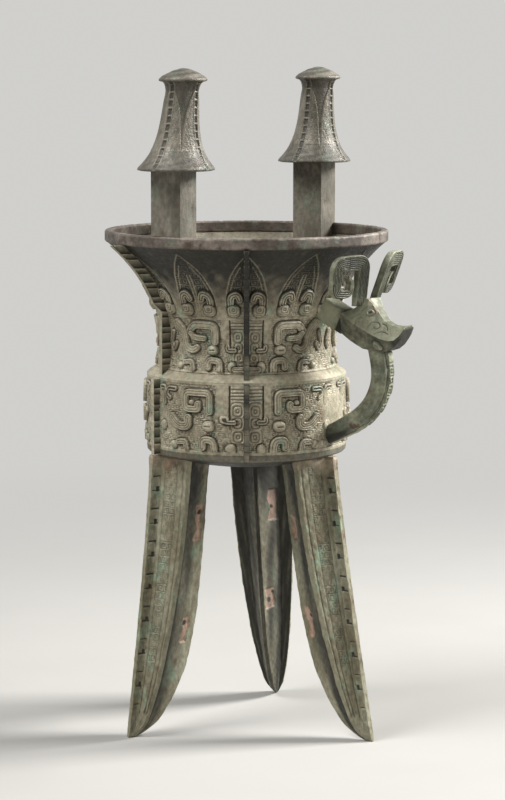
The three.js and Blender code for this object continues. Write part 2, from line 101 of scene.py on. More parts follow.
def relief_sheet(name, columns, rows, place, wrap=False, caps=False):
    """A grid of columns by rows moved by place(u, v), which gives points in mm and the paint's attributes.

    With wrap, the left and right edges meet and are merged; with caps, the open ends are filled too.
    """
    bm = bmesh.new()
    bmesh.ops.create_grid(bm, x_segments=columns, y_segments=rows, size=0.5)
    flat = np.array([vert.co for vert in bm.verts])
    points, paint = place(flat[:, 0] + 0.5, flat[:, 1] + 0.5)
    for vert, point in zip(bm.verts, points):
        vert.co = point
    for attribute, values in paint.items():
        layer = bm.verts.layers.float.new(attribute)
        for vert, value in zip(bm.verts, values):
            vert[layer] = value
    if wrap:
        bmesh.ops.remove_doubles(bm, verts=bm.verts, dist=MERGE_DISTANCE)
    if caps:
        bmesh.ops.holes_fill(bm, edges=[edge for edge in bm.edges if edge.is_boundary], sides=0)
    if wrap or caps:
        bmesh.ops.recalc_face_normals(bm, faces=bm.faces)
    return object_from(name, bm)


print("edges of a wrapped sheet are merged within", MERGE_DISTANCE, "mm")

# %% Steps, routes and waves
def smoothstep(low, high, value):
    """0 below low, 1 above high and a soft S between."""
    share = np.clip((value - low) / (high - low), 0, 1)
    return share * share * (3 - 2 * share)


def distance_to(route, x, y):
    """Distance from each point (x, y) to a route of straight legs."""
    nearest = np.full(np.shape(x), 1e9)
    for (ax, ay), (bx, by) in zip(route, route[1:]):
        run = np.array([bx - ax, by - ay])
        along = ((x - ax) * run[0] + (y - ay) * run[1]) / max(run @ run, 1e-9)
        along = np.clip(along, 0, 1)
        nearest = np.minimum(nearest, np.hypot(x - ax - along * run[0], y - ay - along * run[1]))
    return nearest


def rounded(route, radius, arc_steps=5):
    """A route of straight legs with its corners turned into arcs of about this radius."""
    points = [np.array(p, float) for p in route]
    result = [points[0]]
    for before, corner, after in zip(points, points[1:], points[2:]):
        into = (before - corner) / np.linalg.norm(before - corner)
        out = (after - corner) / np.linalg.norm(after - corner)
        reach = min(radius, np.linalg.norm(before - corner) / 2, np.linalg.norm(after - corner) / 2)
        start = corner + into * reach
        end = corner + out * reach
        for step in range(arc_steps + 1):
            t = step / arc_steps
            result.append((1 - t) ** 2 * start + 2 * t * (1 - t) * corner + t * t * end)
    result.append(points[-1])
    return [tuple(p) for p in result]


def lengths_along(points):
    """The length along a route up to each of its points."""
    return np.concatenate([[0], np.cumsum(np.hypot(*np.diff(np.asarray(points), axis=0).T))])


def around(radius, angle, z):
    """Points at these radii, angles and heights about the vessel's axis."""
    return np.stack([radius * np.cos(angle), radius * np.sin(angle), z], axis=1)


def drift(x, y, size, phase):
    """A smooth unevenness from -1 to 1, with swells about this many millimetres across."""
    wave = math.pi / size
    return (np.sin(wave * (x + 0.6 * y) + phase) + np.sin(1.31 * wave * (0.7 * x - y) + 2 * phase)
            + np.sin(0.77 * wave * (0.4 * x + y) + 3 * phase)) / 3


def square_spirals(x, y, cell, pitch):
    """Leiwen: a square spiral in each cell of a lattice, from -1 in its groove to 1 on its line."""
    cx = (x / cell) % 1 - 0.5
    cy = (y / cell) % 1 - 0.5
    odd = (np.floor(x / cell) + np.floor(y / cell)) % 2
    turn = np.where(odd > 0, -1, 1)
    reach = np.maximum(np.abs(cx), np.abs(cy)) * cell
    angle = np.arctan2(cy, cx * turn) / (2 * math.pi)
    return np.cos(2 * math.pi * (reach / pitch - angle))


print("a square corner rounded to 5 mm:", len(rounded([(0, 0), (20, 0), (20, 20)], 5)), "points")

# %% [markdown]
# ## Patinated cast bronze
# The vessel is leaded tin bronze, cast in a clay piece mould and buried for three thousand years. What the
# eye sees is not metal colour but patina: a grey-green and tan skin, pale where hands and cleaning rubbed
# the high lines, nearly black with earth in the grooves, with pale malachite and rust-brown patches. It
# could be painted on an image, but each piece would have to be unwrapped for it. Here one function mixes it
# from noise in real millimetres, with tints of its own for each part of the vessel. The height that the
# sheets carry drives the dark grooves and the rubbed tops, so the paint follows the relief exactly.
# The same attribute also carries painted shade and painted highlights where a piece sets them.

# %% Colours and nodes
def colour(hex_code):
    """An sRGB hex colour as linear RGBA."""
    channels = [int(hex_code[i:i + 2], 16) / 255 for i in (1, 3, 5)]
    linear = [c / 12.92 if c <= 0.04045 else ((c + 0.055) / 1.055) ** 2.4 for c in channels]
    return (*linear, 1.0)


def add_node(tree, kind, feeds, **settings):
    """Adds a node with its settings; feeds gives its sockets an output to link, a hex colour or a number."""
    node = tree.nodes.new(kind)
    for key, value in settings.items():
        setattr(node, key, value)
    for socket, value in feeds.items():
        if isinstance(value, bpy.types.NodeSocket):
            tree.links.new(value, node.inputs[socket])
        elif isinstance(value, str):
            node.inputs[socket].default_value = colour(value)
        else:
            node.inputs[socket].default_value = value
    return node


def patches(tree, place, size_mm, low, high, detail=4.0):
    """Soft-edged patches about this many millimetres across, as a factor from 0 to 1."""
    noise = add_node(tree, "ShaderNodeTexNoise",
                     {"Vector": place, "Scale": 1 / (size_mm * MM), "Detail": detail, "Roughness": 0.6})
    step = add_node(tree, "ShaderNodeMapRange",
                    {"Value": noise.outputs[0], "From Min": low, "From Max": high},
                    interpolation_type="SMOOTHSTEP")
    return step.outputs[0]


print("middle grey in linear light:", round(colour("#808080")[0], 3))

# %% Cast bronze with its patina
CORE_CLAY = "#c2a18d"

# Sockets of the Mix node in its colour mode
FACTOR, FIRST, SECOND, MIXED = 0, 6, 7, 2

# Most of the metal lies under its patina
PATINA_METALLIC = 0.2


def cast_bronze(name, skin, worn, groove, rust, green, rust_from=0.58, roughness=0.5, streak=1.0):
    """Patinated cast bronze: skin colour, rubbed tops, earth-filled grooves, rust and malachite patches.

    streak below 1 draws the patches out upwards.
    """
    material = bpy.data.materials.new(name)
    material.use_nodes = True
    tree = material.node_tree
    shader = tree.nodes["Principled BSDF"]
    spot = add_node(tree, "ShaderNodeTexCoord", {}).outputs["Object"]
    place = add_node(tree, "ShaderNodeMapping", {"Vector": spot, "Scale": (1, 1, streak)}).outputs[0]
    relief = add_node(tree, "ShaderNodeAttribute", {}, attribute_name="relief").outputs["Fac"]
    clay = add_node(tree, "ShaderNodeAttribute", {}, attribute_name="clay").outputs["Fac"]

    # Tints drift over the skin in patches a few centimetres wide
    tint = skin
    for size_mm, low, high, other in (
        (34, 0.38, 0.68, worn),
        (19, rust_from, rust_from + 0.12, rust),
        (13, 0.54, 0.68, green),
    ):
        factor = patches(tree, place, size_mm, low, high)
        mix = add_node(tree, "ShaderNodeMix", {FACTOR: factor, FIRST: tint, SECOND: other}, data_type="RGBA")
        tint = mix.outputs[MIXED]
    bare = add_node(tree, "ShaderNodeMix", {FACTOR: clay, FIRST: tint, SECOND: CORE_CLAY}, data_type="RGBA")

    # A finer mottle of corrosion makes the skin darker and paler within a few millimetres
    mottle = patches(tree, place, 3.2, 0.3, 0.72, detail=9.0)
    shade = add_node(tree, "ShaderNodeMapRange", {"Value": mottle, "To Min": 0.68, "To Max": 1.16})
    mottled = add_node(tree, "ShaderNodeMix",
                       {FACTOR: 1.0, FIRST: bare.outputs[MIXED], SECOND: shade.outputs[0]},
                       data_type="RGBA", blend_type="MULTIPLY")

    # Rubbed bronze on the raised lines and earth in the grooves; the same tone also carries the painted
    # highlights and painted shade that some pieces set
    rubbed = add_node(tree, "ShaderNodeMapRange",
                      {"Value": relief, "From Min": 0.3, "From Max": 3.2, "To Max": 0.62})
    tops = add_node(tree, "ShaderNodeMix",
                    {FACTOR: rubbed.outputs[0], FIRST: mottled.outputs[MIXED], SECOND: worn},
                    data_type="RGBA")
    earth_and_shade = add_node(tree, "ShaderNodeMapRange", {"Value": relief, "From Min": 0.0, "From Max": -0.9})
    skin_mix = add_node(tree, "ShaderNodeMix",
                        {FACTOR: earth_and_shade.outputs[0], FIRST: tops.outputs[MIXED], SECOND: groove},
                        data_type="RGBA")
    tree.links.new(skin_mix.outputs[MIXED], shader.inputs["Base Color"])

    # Grain of the cast skin over shallow corrosion pits of about 2.5 mm; real grain is finer than these
    # 0.6 mm, which are as coarse as the render needs to show it
    grain = add_node(tree, "ShaderNodeTexNoise", {"Vector": place, "Scale": 1 / (0.6 * MM), "Detail": 3.0})
    pits = add_node(tree, "ShaderNodeTexNoise", {"Vector": place, "Scale": 1 / (2.5 * MM), "Detail": 5.0})
    both = add_node(tree, "ShaderNodeMath", {0: grain.outputs[0], 1: pits.outputs[0]}, operation="ADD")
    bump = add_node(tree, "ShaderNodeBump",
                    {"Height": both.outputs[0], "Strength": 0.5, "Distance": 0.7 * MM})
    tree.links.new(bump.outputs[0], shader.inputs["Normal"])
    gloss = add_node(tree, "ShaderNodeMapRange",
                     {"Value": mottle, "To Min": roughness + 0.14, "To Max": roughness - 0.08})
    tree.links.new(gloss.outputs[0], shader.inputs["Roughness"])
    shader.inputs["Metallic"].default_value = PATINA_METALLIC
    return material


print("colour goes in at socket", FIRST, "or", SECOND, "of a Mix node and out at", MIXED)

# %% The five bronzes
# Each gives the eye a matt, mottled skin: the body tan and rubbed, rim and posts browner and smoother,
# the legs greener and rougher, the handle dark green
body_bronze = cast_bronze("patinated_cast_bronze_body", "#9b927b", "#bdb59e", "#2a2821", "#7c6a54", "#98a28b")
rim_bronze = cast_bronze("patinated_cast_bronze_rim", "#554c43", "#92867b", "#2a2520", "#54463b", "#6f7063",
                         rust_from=0.52, roughness=0.46)
post_bronze = cast_bronze("patinated_cast_bronze_post", "#645f52", "#8d8679", "#25231d", "#5a4d3f", "#767a6b",
                          roughness=0.44, streak=0.6)
leg_bronze = cast_bronze("patinated_cast_bronze_leg", "#807a63", "#a19e88", "#2f2e26", "#7c6a52", "#8b9a82",
                         roughness=0.58, streak=0.65)
handle_bronze = cast_bronze("patinated_cast_bronze_handle", "#646551", "#b0b198", "#2a2a22", "#6a5744",
                            "#7c8773", rust_from=0.6, roughness=0.54)
print("bronze finishes:", len(bpy.data.materials))

# %% [markdown]
# ## Fired clay
# The legs were cast round cores of clay, which stayed inside them. The clay is matt, pinkish and sandy, and
# shows only where the bronze is broken away. New cores could be modelled, but the CAD shape is kept, since
# so little of them is seen.

# %% Clay material and the cores
def fired_clay():
    """Fired core clay: matt, pinkish tan, with sand grains of about 1 mm."""
    material = bpy.data.materials.new("fired_core_clay")
    material.use_nodes = True
    tree = material.node_tree
    shader = tree.nodes["Principled BSDF"]
    place = add_node(tree, "ShaderNodeTexCoord", {}).outputs["Object"]
    sand = patches(tree, place, 1.0, 0.35, 0.65)
    tint = add_node(tree, "ShaderNodeMix", {FACTOR: sand, FIRST: "#b98a76", SECOND: "#d0a592"},
                    data_type="RGBA")
    tree.links.new(tint.outputs[MIXED], shader.inputs["Base Color"])
    bump = add_node(tree, "ShaderNodeBump", {"Height": sand, "Strength": 0.4, "Distance": 0.3 * MM})
    tree.links.new(bump.outputs[0], shader.inputs["Normal"])
    shader.inputs["Roughness"].default_value = 0.95
    return material


clay = fired_clay()
for index in (1, 2, 3):
    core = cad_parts[f"leg_core_{index}"]
    core.data.materials.clear()
    core.data.materials.append(clay)
print("clay on 3 leg cores")

# %% [markdown]
# ## Cast relief
# A mould maker worked in three heights: a ground of tiny square spirals, the bands of the mask standing
# 2 to 3 mm above it with lines that follow their edges, and the eyes and knobs highest of all. The class
# below does the same on a grid: it starts with the ground, and each band or boss is laid over it. It keeps
# two fields, the height that moves the vertices and the tone that the paint reads.

# %% Relief on a grid of points
class Relief:
    """Cast relief over points (x, y) in mm: heights in mm and a tone, below 0 in grooves, above on tops."""

    def __init__(self, x, y, across=0.0, ground=True, cell=4.8, pitch=1.8):
        self.x = x
        self.y = y
        self.height = np.zeros_like(x)
        self.tone = np.zeros_like(x)
        if ground:
            spirals = square_spirals(x + 0.5 * drift(across, y, 9, 1.0), y + 0.5 * drift(across, y, 7, 2.0),
                                     cell, pitch)
            kept = 0.66 + 0.5 * drift(across, y, 12, 3.0)
            self.height = 0.36 * kept * spirals - 0.2
            self.tone = 0.66 * kept * spirals - 0.06 + 0.16 * drift(across, y, 5, 4.0)

    def lay(self, share, height, tone):
        """Blends a height and a tone over what is there, by a share from 0 to 1."""
        self.height = self.height * (1 - share) + height * share
        self.tone = self.tone * (1 - share) + tone * share

    def plain(self, share, height):
        """Leaves the wall bare at one height."""
        self.lay(share, height, 0.0)

    def band(self, route, half_width, rise, pitch=1.7):
        """A raised band along a route, with narrow grooves that follow its edges."""
        distance = distance_to(route, self.x, self.y)
        wave = np.cos(2 * math.pi * (half_width - 0.6 - distance) / pitch)
        groove = smoothstep(0.1, -0.8, wave)
        share = smoothstep(half_width + 0.3, half_width - 0.3, distance)
        foot = smoothstep(half_width + 1.7, half_width + 0.3, distance) * (1 - share)
        self.lay(foot, self.height - 0.4, -0.85)
        self.lay(share, rise - 0.45 * groove, 0.32 * rise - 1.5 * groove)

    def line(self, route, half_width, rise):
        """A thin raised line, or a groove where rise is below 0."""
        distance = distance_to(route, self.x, self.y)
        share = smoothstep(half_width + 0.35, half_width - 0.35, distance)
        self.lay(share, self.height + rise, 0.55 if rise > 0 else -1.1)

    def boss(self, centre, half_x, half_y, rise, slit=False, power=2.6):
        """A rounded knob, with a slit across it for an eye."""
        dx = (self.x - centre[0]) / half_x
        dy = (self.y - centre[1]) / half_y
        reach = (np.abs(dx) ** power + np.abs(dy) ** power) ** (1 / power)
        foot = smoothstep(1.45, 1.05, reach) * smoothstep(0.9, 1.0, reach)
        self.lay(foot, self.height - 0.25, -0.8)
        share = smoothstep(1.08, 0.92, reach)
        dome = rise * (1 - 0.45 * np.clip(reach, 0, 1) ** 2)
        cut = np.exp(-((dy / 0.16) ** 2)) * smoothstep(0.62, 0.45, np.abs(dx)) if slit else 0 * dx
        self.lay(share, dome - 0.9 * cut, 0.8 - 1.8 * cut)

    def block(self, low, high, rise):
        """A raised rectangle from one corner to the other that carries on the ground's lines."""
        inside = np.minimum(np.minimum(self.x - low[0], high[0] - self.x),
                            np.minimum(self.y - low[1], high[1] - self.y))
        share = smoothstep(-0.4, 0.4, inside)
        edge = np.exp(-((inside - 0.7) / 0.5) ** 2)
        self.lay(share, rise + 0.3 * edge, self.tone + 0.5 * edge + 0.25)
        return share

    def rings(self, share, centres, pitch, squash=1.0):
        """Concentric loops round the nearest of several centres."""
        nearest = np.full(self.x.shape, 1e9)
        for cx, cy in centres:
            dx = np.abs(self.x - cx)
            dy = np.abs(self.y - cy) * squash
            nearest = np.minimum(nearest, (dx ** 3.2 + dy ** 3.2) ** (1 / 3.2))
        wave = np.cos(2 * math.pi * nearest / pitch)
        self.height += share * 0.34 * wave
        self.tone = self.tone * (1 - share) + share * (0.75 * wave + 0.1)


sample = Relief(np.linspace(0, 48, 200), np.linspace(0, 31, 200))
print("the ground's relief is", round(float(np.ptp(sample.height)), 2), "mm deep")

# %% [markdown]
# ## The masks on the belly
# Three taotie masks go round the belly. Each is symmetrical about a flange that stands for its nose: a
# column of curled lines, a horn scroll over a bulging eye, an ear outside it and a curled jaw below. The
# face could be drawn as a texture and displaced, but a few named routes per feature keep it editable, and
# mirroring is one absolute value: the distance from the nose.

# %% Sizes of the belly
BELLY_RADIUS = 80.0
BELLY_BULGE = 1.0
BELLY_WALL = 4.0
BELLY_TOP = 288.0
NECK_FOOT_RADIUS = 72.8
NECK_WALL = 4.2


def belly_radius(z):
    """Outer radius of the belly in mm, a slight barrel."""
    middle = (BELLY_FOOT + BELLY_TOP) / 2
    return BELLY_RADIUS + BELLY_BULGE * (1 - ((z - middle) / (BELLY_TOP - middle)) ** 2)


print("belly from", round(BELLY_FOOT, 1), "to", BELLY_TOP, "mm, radius", BELLY_RADIUS, "mm")

# %% Relief of a belly mask
def nose_column(relief, edge, low, high, bars_from, centres, arm, knob):
    """The curled column beside the nose: bars at its top, loops below, a side arm and a knob at its foot."""
    share = relief.block((0, low), (edge, high), 0.9)
    below = share * smoothstep(bars_from + 0.6, bars_from - 0.6, relief.y)
    relief.rings(below, centres, 2.3, squash=0.85)
    bars = np.cos(2 * math.pi * (relief.y - bars_from) / 2.6)
    above = share - below
    relief.height += 0.34 * above * bars
    relief.tone = relief.tone * (1 - above) + above * 0.75 * bars
    relief.line([(edge + 0.9, arm + 5), (edge + 0.9, high)], 0.5, -0.8)
    relief.band(rounded([(edge - 3, arm), (edge + 2.6, arm), (edge + 2.8, arm + 3)], 1.5), 1.7, 2.0)
    relief.boss(knob, 3.4, 4.0, 3.2, power=2.2)


def belly_relief(s, z, across):
    """One half of a belly mask; s is the distance from the nose."""
    relief = Relief(s, z, across)
    nose_column(relief, 12.2, 241, 286, 274, [(6.8, 266.4), (6.8, 257), (6.4, 246)], 257.5, (11.4, 236.4))
    bare = smoothstep(13.2, 14.4, s) * smoothstep(20, 18.8, s) * smoothstep(260, 263, z)
    relief.lay(bare, 0.1, 0.45 + 0.5 * drift(across, z, 3, 2.0))
    horn = [(24.4, 265.4), (24.4, 279.8), (45.8, 279.8), (45.6, 266.8), (34.2, 266.8), (34.2, 271.2)]
    relief.band(rounded(horn, 3.8), 2.6, 2.6)
    relief.boss((40.2, 272), 2.4, 2.1, 2.2, power=2.0)
    relief.boss((25.5, 253.9), 4.6, 4.0, 4.6, slit=True)
    relief.band(rounded([(43, 259.6), (43.2, 253.2), (52, 252.4), (59.4, 259.4)], 5), 3.2, 2.4)
    relief.band(rounded([(20.8, 233.8), (21.6, 243.2), (30.6, 243.2), (30.6, 237)], 4.5), 2.7, 2.5)
    relief.boss((58.5, 237.4), 3.4, 3.0, 2.4, power=2.0)
    relief.band(rounded([(57, 281.5), (66, 281.5), (67, 276), (63, 274)], 3), 1.8, 1.2)
    relief.band(rounded([(45, 234), (46, 241), (53, 240)], 3), 2.2, 2.0)
    relief.band(rounded([(70, 270), (70, 282), (77, 282)], 4), 1.9, 1.2)
    relief.boss((72, 252), 4.0, 3.6, 2.2, power=2.2)
    relief.plain(smoothstep(234.2, 233.2, z), 0.3)
    relief.plain(smoothstep(285.6, 286.4, z), 0.3)
    return relief


brow = belly_relief(np.array([28.7]), np.array([253.9]), np.array([0.0]))
print("beside its slit, a belly eye stands", round(float(brow.height[0]), 1), "mm high")

# %% Belly masks
FACE_ANGLE = 120.0
FACE_CENTRES = (-56.0, 64.0, 184.0)
MASK_SKEW = 4.5
FLANGE_TURN = 4.0
SHEET_OVERLAP = 0.4
SHEET_INSET = 0.3
SHEET_TUCK = 3.0
END_ROW = 1e-6


def belly_mask(centre):
    """Places a point of the grid on the belly round a mask's nose."""
    low = BELLY_FOOT - SHEET_OVERLAP
    high = BELLY_TOP + SHEET_OVERLAP

    def place(u, v):
        turn = (u - 0.5) * FACE_ANGLE
        z = low + (high - low) * v
        s = np.radians(np.abs(turn)) * BELLY_RADIUS
        s = s - MASK_SKEW * (turn < 0) * smoothstep(12.5, 22, s) * smoothstep(84, 66, s)
        relief = belly_relief(s, z, np.radians(centre + turn) * BELLY_RADIUS)
        from_handle = np.radians(np.abs((centre + turn - FLANGE_TURN + 180) % 360 - 180)) * BELLY_RADIUS
        rubbed = smoothstep(24, 13, from_handle + 4 * drift(s, z, 11, 1.0)) * smoothstep(240, 252, z)
        rubbed = rubbed * smoothstep(283, 272, z) * (0.8 + 0.2 * drift(s, z, 4, 2.0))
        relief.lay(rubbed, 0.4, 1.8 + 0.8 * drift(s, z, 6, 2.0))
        tuck = SHEET_TUCK * ((v < END_ROW) | (v > 1 - END_ROW))
        radius = belly_radius(z) - SHEET_INSET + relief.height - tuck
        return around(radius, np.radians(centre + turn), z), {"relief": relief.tone}

    return place


for number, centre in enumerate(FACE_CENTRES, 1):
    mask = relief_sheet(f"belly_mask_{number}", 400, 138, belly_mask(centre))
    finish(mask, body_bronze, "bronze_body", "belly_wall")

# %% [markdown]
# ## The walls behind the masks
# The vessel is a thin cast wall. Floor, belly with its sloped shoulder, and neck are rings, so each is one
# closed outline spun about the axis. A Screw modifier would do as well, but spin with merging closes the
# ring at once. The rings' outer faces lie a little under the mask sheets, whose edges are tucked into them.
# The floor hangs lowest in its middle, and its underside is darkened with painted shade.

# %% A turned ring
# How much darker the painted shade makes the floor's underside
UNDERSIDE_SHADE_TONE = 0.65
SPIN_STEPS = 144


def turned_ring(name, outline, tone, shade_below=0.0):
    """Spins a closed outline of (radius, height) points about the axis; what lies below shade_below gets
    painted shade.
    """
    bm = bmesh.new()
    verts = [bm.verts.new((radius, 0, z)) for radius, z in outline]
    edges = [bm.edges.new(pair) for pair in zip(verts, verts[1:] + verts[:1])]
    bmesh.ops.spin(bm, geom=verts + edges, cent=(0, 0, 0), axis=(0, 0, 1), angle=2 * math.pi,
                   steps=SPIN_STEPS, use_merge=True)
    bmesh.ops.remove_doubles(bm, verts=bm.verts, dist=0.001)
    bmesh.ops.recalc_face_normals(bm, faces=bm.faces)
    layer = bm.verts.layers.float.new("relief")
    for vert in bm.verts:
        # Painted shade on all that lies below shade_below
        vert[layer] = tone - UNDERSIDE_SHADE_TONE * (vert.co.z < shade_below)
    obj = object_from(name, bm)
    obj.data.set_sharp_from_angle(angle=math.radians(35))
    return obj


print("a spin of", SPIN_STEPS, "steps turns", 360 / SPIN_STEPS, "degrees at each")

# %% Floor, belly and neck walls
WAIST_RISE = 17
WAIST_RADIUS = 70
FOOT_SPREAD = 2.8
FLARE_SPREAD = 42.6
FLARE_POWER = 2.35


def neck_radius(z):
    """Outer radius of the neck in mm: drawn in to a waist, then flared like a trumpet."""
    waist = NECK_FOOT + WAIST_RISE
    foot = WAIST_RADIUS + FOOT_SPREAD * (np.clip(waist - z, 0, None) / WAIST_RISE) ** 2
    return foot + FLARE_SPREAD * (np.clip(z - waist, 0, None) / (NECK_TOP - waist)) ** FLARE_POWER


SHEET_DEPTH = 1.7
FLOOR_EDGE = 1.2
FLOOR_SAG = 13.0
floor_outline = [(share * (BELLY_RADIUS - FLOOR_EDGE), LEG_HEIGHT - FLOOR_SAG * (1 - share ** 2))
                 for share in np.linspace(0, 1, 13)]
floor_outline += [
    (BELLY_RADIUS, LEG_HEIGHT + FLOOR_EDGE),
    (BELLY_RADIUS + 0.3, BELLY_FOOT),
    (BELLY_RADIUS - 0.5, BELLY_FOOT + 0.3),
    (0, BELLY_FOOT + 0.3),
]
# The floor's underside, below its band, gets painted shade
floor = turned_ring("floor_plate_cast", floor_outline, tone=-0.6, shade_below=LEG_HEIGHT - 0.1)
finish(floor, body_bronze, "bronze_body", "floor_plate")

belly_levels = np.linspace(BELLY_FOOT, BELLY_TOP, 9)
shoulder_inner = NECK_FOOT_RADIUS - NECK_WALL
belly_outline = [(belly_radius(z) - SHEET_DEPTH, z) for z in belly_levels]
belly_outline += [
    (BELLY_RADIUS + 0.1, BELLY_TOP - 0.5),
    (BELLY_RADIUS + 0.2, BELLY_TOP + 0.4),
    (BELLY_RADIUS - 0.6, BELLY_TOP + 1.2),
    (NECK_FOOT_RADIUS + 0.6, NECK_FOOT - 0.4),
    (NECK_FOOT_RADIUS - SHEET_DEPTH, NECK_FOOT),
    (shoulder_inner, NECK_FOOT),
    (shoulder_inner, NECK_FOOT - BELLY_WALL),
]
belly_outline += [(belly_radius(z) - BELLY_WALL, min(z, BELLY_TOP - BELLY_WALL)) for z in belly_levels[::-1]]
belly_wall = turned_ring("belly_wall_and_shoulder", belly_outline, tone=0.9)
finish(belly_wall, body_bronze, "bronze_body", "belly_wall")

neck_levels = np.linspace(NECK_FOOT, NECK_TOP, 22)
neck_outline = [(neck_radius(z) - SHEET_DEPTH, z) for z in neck_levels]
neck_outline += [(neck_radius(z) - NECK_WALL, z) for z in neck_levels[::-1]]
neck_wall = turned_ring("neck_wall_inside", neck_outline, tone=-0.4)
finish(neck_wall, body_bronze, "bronze_body", "neck_wall")

# %% [markdown]
# ## The masks and leaf blades on the neck
# The neck repeats the masks in a lower band, squeezed to two thirds of the height. Above them, a row of
# pointed leaf blades climbs the flare, one on each flange and one between, each standing on a pair of
# hooked feet. Both are one sheet per mask, since the wall runs through; rows are spaced along the curve of
# the flare, so the mesh stays even where the wall leans out.

# %% Relief of the neck's masks
BAND_FOOT = 295.0
BAND_TOP = 336.6


def neck_band(relief):
    """One half of a neck mask, below the leaf blades."""
    nose_column(relief, 12.2, 304, 336, 328, [(6.6, 323), (6.4, 314.5), (5.8, 306.5)], 312.6, (11.4, 299.6))
    relief.band(rounded([(2.5, 297.6), (9, 297.6)], 2), 2.2, 1.8)
    bare = smoothstep(13.2, 14.4, relief.x) * smoothstep(20.4, 19.2, relief.x)
    bare = bare * smoothstep(316, 319, relief.y)
    relief.lay(bare, 0.1, 0.35)
    relief.band(rounded([(25, 319.4), (25, 332), (43.6, 332.2), (47.4, 326.8)], 4.2), 2.9, 2.6)
    relief.band(rounded([(34.8, 321.4), (43.4, 321.8), (46.4, 325.2)], 4), 2.2, 2.5)
    relief.band(rounded([(60.4, 333.4), (53, 327), (51.4, 314.6), (45.4, 311.4), (41.4, 314)], 5), 2.6, 2.5)
    relief.boss((27.2, 312.6), 4.4, 3.6, 4.4, slit=True)
    relief.band(rounded([(20.8, 296), (21.4, 304.4), (30.4, 304.4), (30.6, 299)], 4), 2.6, 2.5)
    relief.band(rounded([(44, 297), (46, 303), (53, 302)], 3), 2.0, 1.9)
    relief.boss((58, 299.4), 3.0, 2.6, 2.2, power=2.0)
    relief.band(rounded([(64.4, 316), (67, 310.6), (70.6, 316.4), (67.4, 325)], 3), 1.9, 1.5)


print("the neck's masks are", round(BAND_TOP - BAND_FOOT, 1), "mm high")

# %% Relief of the leaf blades
LEAF_ANGLE = 30.0
LEAF_FOOT = 338.6


def leaf_blade(relief, a, z, across):
    """Half of a leaf blade; a is the distance from its middle, in mm at the neck's waist."""
    outline = [(15.8, 341), (15.6, 352), (14, 361), (10.4, 372), (5.8, 381), (0, 389.5)]
    zone = smoothstep(LEAF_FOOT - 1.4, LEAF_FOOT - 0.8, z)
    leaf = Relief(a, z, ground=False)
    leaf.tone = 0.12 * drift(3 * across, z, 14, 2.0) + 0.1 * drift(across, z, 5, 1.0)
    edge = np.interp(z, [p[1] for p in outline], [p[0] for p in outline])
    inside = smoothstep(0.6, -0.6, a - edge) * smoothstep(389, 387, z)
    spirals = square_spirals(a + 2.6, z + 0.6 * drift(across, z, 8, 5.0), 5.2, 1.75)
    leaf.lay(inside, 0.2 * spirals - 0.15, 0.26 * spirals - 0.06)
    leaf.line(outline, 0.45, 0.5)
    leaf.line([(p[0] - 2.2, p[1] - 1.4) for p in outline[:-1]], 0.35, 0.3)
    leaf.band(rounded([(12.2, 344), (11.6, 356.4), (6.4, 358.4), (5, 353.6)], 4), 2.5, 2.4)
    leaf.boss((10, 344.2), 4.9, 4.6, 3.3, power=2.5)
    boot = smoothstep(1.0, 0.8, np.hypot((a - 10) / 4.9, (z - 344.2) / 4.8))
    leaf.rings(boot, [(10, 346)], 1.9)
    leaf.line([(1.2, 344), (1.2, 372)], 0.5, 0.5)
    # Darker towards the collar: painted shade under its overhang, and partly a darker patina there
    leaf.tone -= 0.7 * smoothstep(338, 366, z) + 0.3 * smoothstep(360, 384, z)
    relief.lay(zone, leaf.height, leaf.tone)


print("leaf blades round the flare:", round(360 / LEAF_ANGLE))

# %% Neck masks and leaf blades
BAND_RADIUS = 71.5
LEAF_RADIUS = 76.0


def neck_mask(centre):
    """Places a point of the grid on the neck round a mask's nose."""
    z_fine = np.linspace(NECK_FOOT - SHEET_INSET, NECK_TOP + SHEET_INSET, 600)
    r_fine = neck_radius(z_fine)
    run = lengths_along(np.stack([z_fine, r_fine], axis=1))
    lean = np.gradient(r_fine, z_fine)

    def place(u, v):
        turn = (u - 0.5) * FACE_ANGLE
        z = np.interp(v * run[-1], run, z_fine)
        slope = np.interp(z, z_fine, lean)
        angle = np.radians(centre + turn)
        relief = Relief(np.radians(np.abs(turn)) * BAND_RADIUS, z, angle * BAND_RADIUS)
        neck_band(relief)
        relief.plain(smoothstep(BAND_FOOT + 0.8, BAND_FOOT, z), 0.2)
        relief.plain(smoothstep(BAND_TOP - 0.5, BAND_TOP + 0.2, z), 0.2)
        from_leaf = np.abs((turn + LEAF_ANGLE / 2) % LEAF_ANGLE - LEAF_ANGLE / 2)
        leaf_blade(relief, np.radians(from_leaf) * LEAF_RADIUS, z, angle * LEAF_RADIUS)
        tuck = SHEET_TUCK * ((v < END_ROW) | (v > 1 - END_ROW))
        rise = (relief.height - SHEET_INSET - tuck) / np.sqrt(1 + slope ** 2)
        return around(neck_radius(z) + rise, angle, z - rise * slope), {"relief": relief.tone}

    return place


for number, centre in enumerate(FACE_CENTRES, 1):
    mask = relief_sheet(f"neck_mask_{number}", 354, 262, neck_mask(centre))
    finish(mask, body_bronze, "bronze_body", "neck_wall")

# %% [markdown]
# ## Flanges
# Narrow toothed flanges hide the seams where the mould sections met. Each is a thin plate with a ladder of
# sunk cells on both sides, long and short by turns, each in its own frame, and a row of notches along its
# edge. The cells could be cut with booleans, but a strip of quads, one per cell, extruded to the plate's
# thickness, needs none: insetting the faces one by one makes frame and cell together.

# %% A flange with sunk cells
FLANGE_THICKNESS = 4.4
FRAME_WIDTH = 0.5
CELL_DEPTH = 0.6
NOTCH_DEPTH = 0.4


